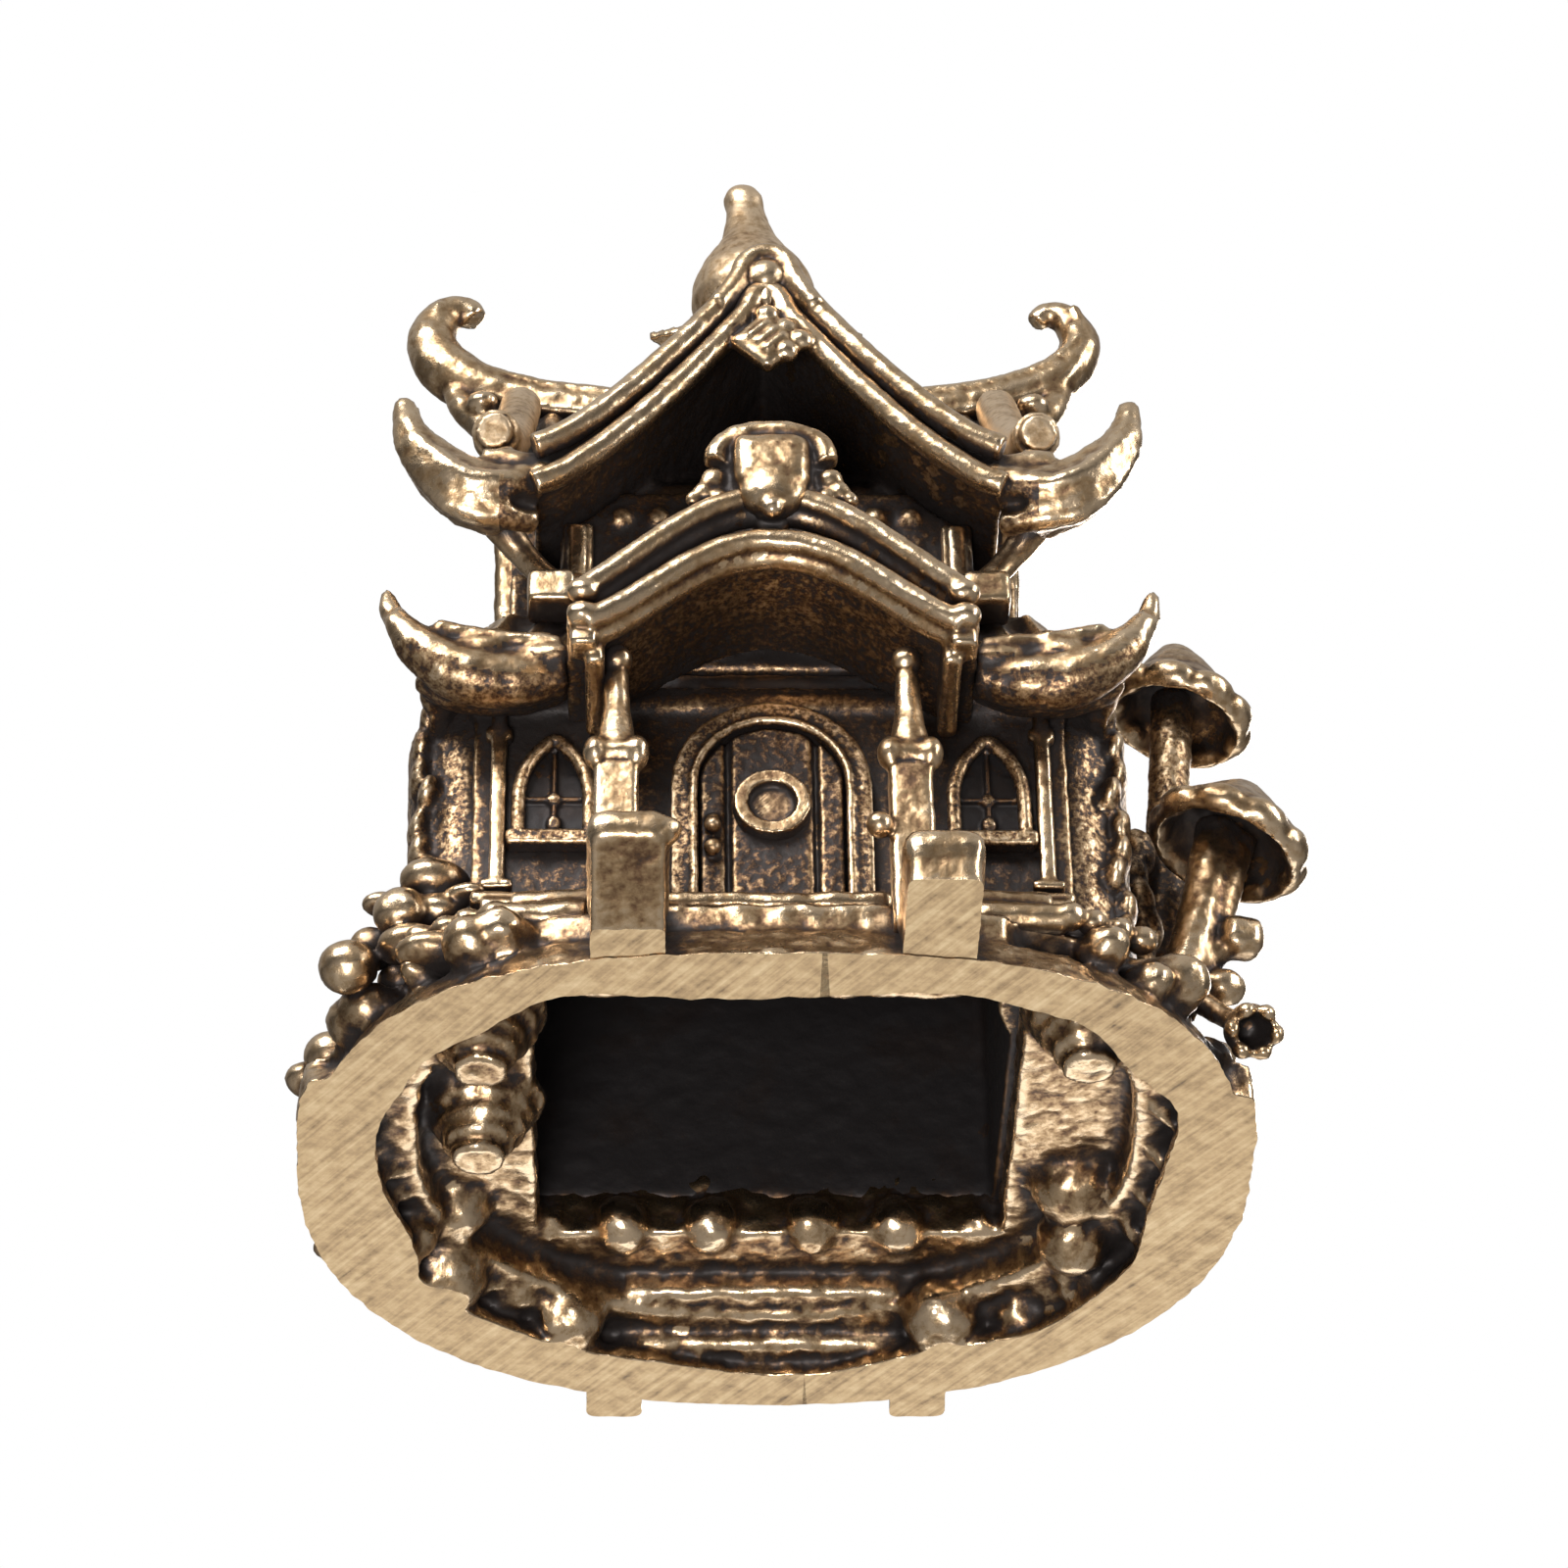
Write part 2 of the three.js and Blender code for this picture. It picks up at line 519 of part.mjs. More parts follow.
const CORNERS = [['front_left', -1, -1], ['front_right', 1, -1], ['rear_left', -1, 1], ['rear_right', 1, 1]];

// An upswept horn that grows out of a roof's corner.
function horn([eaveX, eaveY], level, sx, sy, { inset, low, reach, rise, root, tip }) {
  const [x, y, z] = [eaveX - inset, eaveY - inset, level - low];
  const route = [[0, 0, 0], [0.37, 0.1, 0.01], [0.7, 0.18, 0.27], [0.92, 0.22, 0.6], [1, 0.22, 1]];
  const path = route.map(([u, v, w]) => [sx * (x + reach * u), sy * (y + reach * v), z + rise * w]);
  return bar(path, (t) => root + (tip - root) * t ** 1.3, 8, 9);
}

// ---- upper storey ----
function crossShape(inset) {
  const [w, d] = [UPPER_HALF_WIDTH - inset, UPPER_HALF_DEPTH - inset];
  const [bay, arm] = [UPPER_BAY_WIDTH - inset, UPPER_ARM_DEPTH - inset];
  const half = [[bay, -d], [bay, -arm], [w, -arm], [w, arm], [bay, arm], [bay, d]];
  const other = half.map(([x, y]) => [-x, -y]);
  return new THREE.Shape([...half, ...other].map(([x, y]) => new THREE.Vector2(x, y)));
}

// Everything above a gable's underside, less a little room, along the whole depth.
function aboveGable(room) {
  const half = GABLE_HALF_WIDTH + room;
  const under = across(half, 16).map((x) => new THREE.Vector2(x, gableTop(x) - GABLE_THICKNESS - room));
  const shape = new THREE.Shape([...under, new THREE.Vector2(half, SKY), new THREE.Vector2(-half, SKY)]);
  return upright(shape, -AWAY, AWAY);
}

// Everything above the main roof's underside, less a little room, to both sides of the gables.
function besideGables(room) {
  const sky = roofBlock(() => SKY, (x, y) => upperRoofTop(x, y) - UPPER_ROOF.thickness - room);
  return cut(sky, box(-GABLE_HALF_WIDTH, GABLE_HALF_WIDTH, -AWAY, AWAY, 0, SKY + 1));
}

function addUpperStorey(parent) {
  const wall = slab(crossShape(0), UPPER_FLOOR + SEAM, UPPER_WALL_TOP, crossShape(UPPER_WALL));
  piece('upper_wall', cut(wall, aboveGable(EASE), besideGables(EASE)), darkenedBrass, parent);
  const face = UPPER_HALF_DEPTH + SEAM;
  const foot = LOWER_ROOF_TOP + EASE;
  const x = UPPER_BAY_WIDTH - PILASTER_UPPER.width / 2;
  const head = gableTop(UPPER_BAY_WIDTH) - GABLE_THICKNESS - EASE;
  const { width, depth, block, blockDepth, bracket } = PILASTER_UPPER;
  for (const side of [-1, 1]) {
    const name = side < 0 ? 'left' : 'right';
    const shaft = box(x - width / 2, x + width / 2, -face - depth, -face, foot, head);
    const footing = box(x - width / 2, x + width / 2 + block, -face - blockDepth, -face, foot, foot + block);
    const route = [[x, foot + 0.5], [x + 1.1, foot + 1.3], [x + 1.9, foot + 2.2], [x + 2.7, foot + 2.6]];
    const brace = bar(route.map(([u, z]) => [u, -face - bracket, z]), () => bracket, 6, 8);
    const casting = joined(shaft, footing, brace);
    const handed = side < 0 ? outward(casting.scale(-1, 1, 1)) : casting;
    piece(`upper_pilaster_${name}`, handed, rubbedBrass, parent);
  }
  for (const [corner, sx, sy] of CORNERS) {
    const reach = CORNER_POST + SEAM;
    const top = UPPER_EAVE - EASE;
    const post = new THREE.CylinderGeometry(CORNER_POST, CORNER_POST, top - foot, 10)
      .rotateX(Math.PI / 2)
      .translate(sx * (UPPER_HALF_WIDTH + reach), sy * (UPPER_ARM_DEPTH - reach), (top + foot) / 2);
    piece(`corner_post_${corner}`, post, rubbedBrass, parent);
  }
}

// ---- upper roof: a concave saddle roof with a gable in front and behind ----
const UPPER_EAVE_HALF = [UPPER_HALF_WIDTH + UPPER_ROOF.overhang, UPPER_HALF_DEPTH + UPPER_ROOF.endOverhang];

function upperRoofTop(x, y) {
  const out = Math.min(1, Math.abs(y) / UPPER_EAVE_HALF[1]);
  const along = Math.min(1, Math.abs(x) / UPPER_EAVE_HALF[0]);
  const slope = UPPER_ROOF.rise * (1 - out) ** UPPER_ROOF.curve;
  return UPPER_EAVE + UPPER_ROOF.thickness + slope + UPPER_ROOF.lift * along ** 3 * out ** 2;
}

function gableTop(x) {
  const share = Math.min(1, Math.abs(x) / GABLE_HALF_WIDTH);
  return UPPER_EAVE + UPPER_ROOF.thickness + GABLE_RISE * (1 - share) ** GABLE_CURVE;
}

// A block on the main roof's plan whose top and underside stand at the heights given over each point.
function roofBlock(topAt, underAt) {
  const block = new THREE.BoxGeometry(2 * UPPER_EAVE_HALF[0], 2 * UPPER_EAVE_HALF[1], 1, 10, 20, 1);
  const position = block.attributes.position;
  for (let i = 0; i < position.count; i += 1) {
    const heightAt = position.getZ(i) > 0 ? topAt : underAt;
    position.setZ(i, heightAt(position.getX(i), position.getY(i)));
  }
  return block;
}

function addUpperRoof(parent) {
  const sheet = roofBlock(upperRoofTop, (x, y) => upperRoofTop(x, y) - UPPER_ROOF.thickness);
  const reach = UPPER_EAVE_HALF[1] - SEAM;
  const gable = upright(bandShape(gableTop, GABLE_HALF_WIDTH, GABLE_THICKNESS, 16), -reach, reach);
  const behindWall = UPPER_HALF_DEPTH - 1;
  const under = upright(new THREE.Shape(underPoints()), -reach - 1, -behindWall);
  const rearUnder = under.clone().rotateZ(Math.PI);
  const roof = solidOf(sheet).subtract(solidOf(under)).subtract(solidOf(rearUnder));
  const inside = solidOf(upright(new THREE.Shape(underPoints()), -behindWall, behindWall));
  const horns = CORNERS.map(([, sx, sy]) => solidOf(horn(UPPER_EAVE_HALF, UPPER_EAVE, sx, sy, UPPER_HORN)));
  const vault = roof.add(solidOf(gable).subtract(inside));
  const casting = horns.reduce((whole, corner) => whole.add(corner), vault);
  piece('upper_roof', geometryOf(casting), rubbedBrass, parent);
}

// The space below a gable's underside, down past the eaves.
function underPoints() {
  const xs = across(GABLE_HALF_WIDTH, 16).reverse();
  const low = UPPER_EAVE - 5;
  return [
    new THREE.Vector2(-GABLE_HALF_WIDTH, low),
    new THREE.Vector2(GABLE_HALF_WIDTH, low),
    ...xs.map((x) => new THREE.Vector2(x, gableTop(x) - GABLE_THICKNESS)),
  ];
}

function addRoofTrim(parent) {
  const rollY = UPPER_EAVE_HALF[1] + GABLE_ROLL;
  const apexSlope = GABLE_RISE * GABLE_CURVE / GABLE_HALF_WIDTH;
  const spacing = (2 * GABLE_ROLL + ROLL_GAP) * Math.hypot(1, apexSlope);
  const xs = across(GABLE_HALF_WIDTH, 16);
  for (const [end, sy] of [['front', -1], ['rear', 1]]) {
    const upper = xs.map((x) => [x, sy * rollY, gableTop(x) + ROLL_LIFT]);
    const lower = xs.map((x) => [x, sy * rollY, gableTop(x) + ROLL_LIFT - spacing]);
    piece(`${end}_gable_rake_upper`, bar(upper, () => GABLE_ROLL, 6, 16), rubbedBrass, parent);
    const drop = gableTop(0) - GABLE_THICKNESS - PENDANT.drop;
    const pendant = new THREE.CylinderGeometry(PENDANT.halfWidth, PENDANT.halfWidth, PENDANT.depth, 4);
    const hung = pendant.translate(0, sy * (rollY + GABLE_ROLL * 0.6), drop);
    piece(`${end}_gable_rake_lower`, joined(bar(lower, () => GABLE_ROLL, 6, 16), hung), rubbedBrass, parent);
  }
}

function addRidge(parent) {
  const half = RIDGE.reach;
  const low = upperRoofTop(0, 0) + RIDGE.radius + EASE;
  const { sag, curl } = RIDGE;
  const end = (s) => [
    [s * (half - 0.4), 0, low + sag + 0.7],
    [s * half, 0, low + sag + 2.1],
    [s * (half - curl * 0.6), 0, low + sag + 3.1],
    [s * (half - curl * 1.3), 0, low + sag + 2.5],
  ];
  const middle = across(0.75, 6).map((u) => [u * half, 0, low + sag * u ** 2]);
  const path = [...end(-1).reverse(), ...middle, ...end(1)];
  const thin = (t) => RIDGE.radius * (0.5 + 0.5 * Math.min(1, Math.min(t, 1 - t) / 0.12));
  piece('main_ridge', bar(path, thin, 8, 32), rubbedBrass, parent);
}

// A hip roll lies on the roof from the main ridge down to the corner.
function addHips(parent) {
  const shares = [0.14, 0.3, 0.45, 0.6, 0.75, 0.88];
  for (const [corner, sx, sy] of CORNERS) {
    const path = shares.map((u) => {
      const x = sx * (GABLE_HALF_WIDTH + HIP_SPREAD * u);
      const y = sy * UPPER_EAVE_HALF[1] * u;
      return [x, y, upperRoofTop(x, y) + HIP + HIP_LIFT];
    });
    piece(`hip_${corner}`, bar(path, () => HIP, 8, 12), rubbedBrass, parent);
  }
}

// ---- finial: a lotus seat on the ridge and a gourd above it ----
function addFinial(parent) {
  const foot = upperRoofTop(0, 0) + RIDGE.radius * 2 + EASE + 0.15;
  const seat = new THREE.CylinderGeometry(LOTUS.halfWidth * Math.SQRT1_2, LOTUS.foot, LOTUS.height, 12, 2)
    .rotateX(Math.PI / 2)
    .translate(0, 0, foot + LOTUS.height / 2);
  const plate = new THREE.CylinderGeometry(LOTUS.halfWidth, LOTUS.halfWidth * 0.9, LOTUS.lip, 4)
    .rotateX(Math.PI / 2)
    .translate(0, 0, foot + LOTUS.height - LOTUS.lip / 2);
  piece('lotus_seat', joined(seat, plate), rubbedBrass, parent);
  const { bulb, neck, tip, height } = FINIAL;
  const profile = [
    [0, 0], [bulb * 0.7, 0], [bulb * 0.96, height * 0.1], [bulb, height * 0.22], [bulb * 0.9, height * 0.36],
    [bulb * 0.6, height * 0.55], [neck * 1.25, height * 0.72], [neck, height * 0.85],
    [tip, height * 0.93], [tip * 0.6, height], [0, height],
  ].map(([r, z]) => new THREE.Vector2(r, z));
  const gourd = new THREE.LatheGeometry(profile, 20).rotateX(Math.PI / 2);
  piece('gourd_finial', gourd.translate(FINIAL_LEAN, 0, foot + LOTUS.height + SEAM), rubbedBrass, parent);
}

// ---- mushrooms beside the right wall ----
function addMushrooms(parent) {
  for (const { name, x, y, level, cap, capHeight, stem, footX } of MUSHROOMS) {
    const profile = [
      [0, 0.15], [stem * 1.2, 0.15], [cap * 0.85, 0], [cap, capHeight * 0.25], [cap * 0.9, capHeight * 0.6],
      [cap * 0.55, capHeight * 0.92], [0, capHeight],
    ].map(([r, z]) => new THREE.Vector2(r, z));
    const hat = new THREE.LatheGeometry(profile, 16).rotateX(Math.PI / 2).translate(x, y, level);
    const wallSide = LOWER_HALF_WIDTH + SIDE_BAY.radius + EASE;
    const wall = box(-AWAY, wallSide, -AWAY, AWAY, 0, SKY);
    piece(`mushroom_cap_${name}`, cut(hat, wall), rubbedBrass, parent);
    const foot = FLOOR - 0.4;
    const path = [
      [footX, y - 1.0, foot],
      [footX + 0.2, y - 0.8, (foot + level) / 2],
      [x, y, level + capHeight / 2],
    ];
    const ground = box(-AWAY, AWAY, -AWAY, AWAY, 0, FLOOR + SEAM);
    const above = box(-AWAY, AWAY, -AWAY, AWAY, level - SEAM, SKY);
    const stalk = cut(bar(path, () => stem, 10, 10), wall, ground, above);
    piece(`mushroom_stem_${name}`, stalk, rubbedBrass, parent);
  }
}

const part = new THREE.Group();
const base = new THREE.Group();
const tower = new THREE.Group();
const garden = new THREE.Group();
part.add(base, tower, garden);
base.position.set(BASE_X, BASE_Y, 0);
tower.position.y = BASE_Y;
addBase(base);
addStairPosts(base);
addStones(base);
addGroundStorey(tower);
addPorch(tower);
addColumns(tower);
addLowerRoof(tower);
addUpperStorey(tower);
addUpperRoof(tower);
addRoofTrim(tower);
addRidge(tower);
addHips(tower);
addFinial(tower);
addMushrooms(garden);

part.updateMatrixWorld(true);
const bounds = new THREE.Box3().setFromObject(part, true);
const centre = bounds.getCenter(new THREE.Vector3());
part.position.set(-centre.x, -centre.y, -bounds.min.z);

export default part;
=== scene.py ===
import math

import bmesh
import bpy
from mathutils import Matrix, Vector


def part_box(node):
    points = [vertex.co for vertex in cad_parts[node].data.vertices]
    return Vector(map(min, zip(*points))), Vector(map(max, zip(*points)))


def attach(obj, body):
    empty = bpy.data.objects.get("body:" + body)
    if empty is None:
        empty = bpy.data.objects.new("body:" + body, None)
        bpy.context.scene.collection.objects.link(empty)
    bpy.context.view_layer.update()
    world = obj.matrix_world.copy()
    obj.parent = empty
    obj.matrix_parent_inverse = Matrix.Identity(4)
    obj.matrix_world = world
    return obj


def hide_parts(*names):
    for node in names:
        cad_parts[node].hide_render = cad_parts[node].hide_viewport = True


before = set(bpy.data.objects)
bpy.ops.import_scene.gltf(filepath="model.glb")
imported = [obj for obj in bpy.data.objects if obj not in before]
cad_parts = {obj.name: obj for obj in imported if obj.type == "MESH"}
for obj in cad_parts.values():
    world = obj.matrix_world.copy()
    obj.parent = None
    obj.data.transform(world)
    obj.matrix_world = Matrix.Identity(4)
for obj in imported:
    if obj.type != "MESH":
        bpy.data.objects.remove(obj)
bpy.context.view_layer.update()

# ---- Camera, light and floor ----
# A plain product set: a long lens that looks up at the open underside, soft light from all
# sides with darker gaps between for the metal to mirror, and a pale floor under the rim.
MM = 0.001
wall_low, wall_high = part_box("lower_wall")
TOWER = Vector(((wall_low.x + wall_high.x) / 2, (wall_low.y + wall_high.y) / 2, 0)) / MM


def span(node_name):
    """A CAD node's lowest and highest corner in millimetres, measured from the tower's centre line."""
    low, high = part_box(node_name)
    return low / MM - TOWER, high / MM - TOWER


LOOK = Vector((0.02823, 0.80852, 0.58779))
RIGHT = Vector((0.9996, -0.02464, -0.01412))
UP = Vector((-0.00307, -0.58795, 0.80890))
EYE = Vector((-4.863, -163.33, -100.07))

lens = bpy.data.cameras.new("lens")
lens.lens = 117.56
lens.sensor_width = 36
lens.clip_start = 0.01
camera = bpy.data.objects.new("camera", lens)
turn = Matrix((RIGHT, UP, -LOOK)).transposed().to_4x4()
camera.matrix_world = Matrix.Translation((TOWER + EYE) * MM) @ turn
bpy.context.collection.objects.link(camera)
bpy.context.scene.camera = camera
bpy.context.scene.view_settings.view_transform = "Standard"


def node(tree, kind, links=None, stops=(), **settings):
    """Adds a node. links feeds its inputs, from a node by its first output, stops fills a colour
    ramp, and settings are its properties."""
    made = tree.nodes.new("ShaderNode" + kind)
    for _ in stops[2:]:
        made.color_ramp.elements.new(0.5)
    for k, (place, code) in enumerate(stops):
        made.color_ramp.elements[k].position = place
        made.color_ramp.elements[k].color = tone(code)
    for key, value in settings.items():
        setattr(made, key, value)
    for key, value in (links or {}).items():
        if isinstance(value, bpy.types.Node):
            value = value.outputs[0]
        if isinstance(value, bpy.types.NodeSocket):
            tree.links.new(value, made.inputs[key])
        else:
            made.inputs[key].default_value = value
    return made


def tone(code):
    """An sRGB hex colour as linear red, green, blue and an alpha of 1."""
    parts = [int(code[i:i + 2], 16) / 255 for i in (1, 3, 5)]
    return [c / 12.92 if c <= 0.04045 else ((c + 0.055) / 1.055) ** 2.4 for c in parts] + [1.0]


WHITE = tone("#ffffff")
world = bpy.data.worlds.new("studio")
bpy.context.scene.world = world
world.use_nodes = True
sky = world.node_tree
sky.nodes.clear()
direction = node(sky, "TexCoord").outputs["Generated"]
height = node(sky, "SeparateXYZ", {"Vector": direction}).outputs["Z"]
level = node(sky, "MapRange", {"Value": height, "From Min": -1.0, "From Max": 1.0})
around = node(sky, "ValToRGB", {"Fac": level},
    stops=[(0.0, "#dcdad8"), (0.42, "#979492"), (0.56, "#565453"), (0.75, "#bcbab8"), (1.0, "#f4f4f4")])
soft = node(sky, "Background", {"Color": around, "Strength": 0.52})
plain = node(sky, "Background", {"Color": WHITE, "Strength": 1.0})
seen = node(sky, "LightPath").outputs["Is Camera Ray"]
mixed = node(sky, "MixShader", {0: seen, 1: soft, 2: plain})
node(sky, "OutputWorld", {"Surface": mixed})

SOFTBOXES = [
    # name, direction towards the light, distance, width, height (mm), power (W)
    ("key", Vector((-0.45, -0.75, 0.55)), 170, 130, 90, 0.30),
    ("side", Vector((0.85, -0.45, 0.25)), 180, 50, 130, 0.16),
    ("rim", Vector((0.05, 0.75, -0.62)), 170, 150, 90, 0.062),
    ("low", Vector((-0.15, -0.75, -0.62)), 185, 45, 45, 0.20),
    ("back", Vector((0.35, 0.85, 0.45)), 220, 120, 80, 0.25),
]
for name, towards, distance, width, depth, power in SOFTBOXES:
    light = bpy.data.lights.new(name, "AREA")
    light.shape = "RECTANGLE"
    light.size = width * MM
    light.size_y = depth * MM
    light.energy = power
    lamp = bpy.data.objects.new(name, light)
    aim = towards.normalized()
    lamp.matrix_world = (Matrix.Translation((TOWER + Vector((0, 0, 20)) + aim * distance) * MM)
        @ aim.to_track_quat("Z", "Y").to_matrix().to_4x4())
    bpy.context.collection.objects.link(lamp)

FLOOR_SIDE = 2000
ground = bmesh.new()
bmesh.ops.create_grid(ground, x_segments=1, y_segments=1, size=FLOOR_SIDE / 2 * MM)
floor_mesh = bpy.data.meshes.new("floor")
ground.to_mesh(floor_mesh)
floor = bpy.data.objects.new("floor", floor_mesh)
bpy.context.collection.objects.link(floor)
paper = bpy.data.materials.new("white_paper")
paper.use_nodes = True
tree = paper.node_tree
tree.nodes.clear()
path = node(tree, "LightPath").outputs["Is Camera Ray"]
behind = node(tree, "NewGeometry").outputs["Backfacing"]
above = node(tree, "Math", {0: 1.0, 1: behind}, operation="SUBTRACT")
shown = node(tree, "Math", {0: path, 1: above}, operation="MULTIPLY")
clear = node(tree, "BsdfTransparent")
matte = node(tree, "BsdfDiffuse", {"Color": tone("#f2f1ee")})
both = node(tree, "MixShader", {0: shown, 1: clear, 2: matte})
node(tree, "OutputMaterial", {"Surface": both})
floor_mesh.materials.append(paper)
# it casts no shadow, so that it doesn't count as shelter for the black patina
floor.visible_shadow = False


# ---- The rock base ----
# A hollow oval skirt of cast rockwork under the tower, open below. It is one lost-wax brass
# casting, sawn and belt-ground flat round the rim, with the wax model's relief on its inside.
def lump(bm, centre, radii, spin=0.0, tilt=0.0):
    """An egg-shaped stone or bead."""
    place = (Matrix.Translation(centre) @ Matrix.Rotation(spin, 4, "Z") @ Matrix.Rotation(tilt, 4, "Y")
        @ Matrix.Diagonal((*radii, 1)))
    bmesh.ops.create_icosphere(bm, subdivisions=3, radius=1, matrix=place)


def slab(bm, low, high, ease=0.2, spin=0.0):
    """A block between two corners with rounded edges."""
    low, high = Vector(low), Vector(high)
    size = high - low
    block = bmesh.new()
    bmesh.ops.create_cube(block, size=1, matrix=Matrix.Diagonal((*size, 1)))
    if ease:
        bmesh.ops.bevel(block, geom=block.edges[:], offset=ease, segments=3, profile=0.5, affect="EDGES",
            material=-1)
    moved(block, Matrix.Translation((low + high) / 2) @ Matrix.Rotation(spin, 4, "Z"))
    add(bm, block)


def add(bm, other):
    """Puts a shape made on its own into a larger one."""
    carrier = bpy.data.meshes.new("carrier")
    other.to_mesh(carrier)
    other.free()
    bm.from_mesh(carrier)
    bpy.data.meshes.remove(carrier)


def roll(bm, points, radii, sides=6):
    """A round bar along a smooth curve through the points, with its radius at each one."""
    curve = bpy.data.curves.new("roll", "CURVE")
    curve.dimensions = "3D"
    curve.bevel_depth = 1
    curve.bevel_resolution = sides
    curve.resolution_u = 8
    curve.use_fill_caps = True
    spline = curve.splines.new("BEZIER")
    spline.bezier_points.add(len(points) - 1)
    if not hasattr(radii, "__len__"):
        radii = [radii] * len(points)
    for knot, place, radius in zip(spline.bezier_points, points, radii):
        knot.co = place
        knot.radius = radius
        knot.handle_left_type = knot.handle_right_type = "AUTO"
    holder = bpy.data.objects.new("roll", curve)
    bpy.context.collection.objects.link(holder)
    bpy.context.view_layer.update()
    carrier = bpy.data.meshes.new_from_object(holder.evaluated_get(bpy.context.evaluated_depsgraph_get()))
    bar = bmesh.new()
    bar.from_mesh(carrier)
    bmesh.ops.remove_doubles(bar, verts=bar.verts, dist=1e-4)
    bpy.data.objects.remove(holder)
    bpy.data.curves.remove(curve)
    bpy.data.meshes.remove(carrier)
    add(bm, bar)


def turned(bm, centre, profile, steps=40):
    """A shape turned on a vertical axis from its (radius, height) outline."""
    shape = bmesh.new()
    rim = [shape.verts.new((r, 0, z)) for r, z in profile]
    edges = [shape.edges.new(pair) for pair in zip(rim, rim[1:])]
    bmesh.ops.spin(shape, geom=rim + edges, cent=(0, 0, 0), axis=(0, 0, 1), angle=math.tau, steps=steps,
        use_merge=True)
    bmesh.ops.remove_doubles(shape, verts=shape.verts, dist=1e-4)
    bmesh.ops.recalc_face_normals(shape, faces=shape.faces)
    moved(shape, Matrix.Translation(centre))
    add(bm, shape)


def moved(bm, matrix):
    """Turns and shifts a whole shape."""
    bmesh.ops.transform(bm, verts=bm.verts, matrix=matrix)


def circle(count, radius, z=0.0):
    """Angles round a circle, each with its point."""
    for k in range(count):
        angle = math.tau * k / count
        yield angle, Vector((radius * math.cos(angle), radius * math.sin(angle), z))


def cad_shape(bm, *node_names):
    """Copies CAD nodes into a shape, in millimetres from the tower's centre line."""
    for node_name in node_names:
        copy = bmesh.new()
        copy.from_mesh(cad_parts[node_name].data)
        bmesh.ops.remove_doubles(copy, verts=copy.verts, dist=1e-7)
        moved(copy, Matrix.Translation(-TOWER) @ Matrix.Scale(1 / MM, 4))
        add(bm, copy)


def finished(name, mesh, stands_for, *materials, slot="rubbed_brass"):
    """Takes a mesh from millimetres on the tower's centre line to its place in the frame."""
    mesh.transform(Matrix.Diagonal((MM, MM, MM, 1)) @ Matrix.Translation(TOWER))
    mesh.name = name
    for polygon in mesh.polygons:
        polygon.use_smooth = True
    for material in materials:
        mesh.materials.append(material)
    piece = bpy.data.objects.new(name, mesh)
    bpy.context.collection.objects.link(piece)
    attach(piece, "root")
    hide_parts(*stands_for)
    return piece


def cast(bm, voxel, soften=3, grain=0.05, grain_size=0.7):
    """One casting from overlapping shapes: fused, its edges softened, its skin a little uneven."""
    mesh = bpy.data.meshes.new("casting")
    bm.to_mesh(mesh)
    bm.free()
    rough = bpy.data.objects.new("casting", mesh)
    bpy.context.collection.objects.link(rough)
    fuse = rough.modifiers.new("fuse", "REMESH")
    fuse.mode = "VOXEL"
    fuse.voxel_size = voxel
    smooth = rough.modifiers.new("soften", "SMOOTH")
    smooth.factor = 0.5
    smooth.iterations = soften
    clouds = bpy.data.textures.get("skin") or bpy.data.textures.new("skin", "CLOUDS")
    clouds.noise_scale = grain_size
    skin = rough.modifiers.new("skin", "DISPLACE")
    skin.texture = clouds
    skin.texture_coords = "LOCAL"
    skin.strength = grain
    skin.mid_level = 0.5
    bpy.context.view_layer.update()
    shaped = rough.evaluated_get(bpy.context.evaluated_depsgraph_get())
    result = bpy.data.meshes.new_from_object(shaped)
    bpy.data.objects.remove(rough)
    bpy.data.meshes.remove(mesh)
    return result


def blank_material(name):
    """A new material without nodes, and its node tree."""
    material = bpy.data.materials.new(name)
    material.use_nodes = True
    material.node_tree.nodes.clear()
    return material, material.node_tree


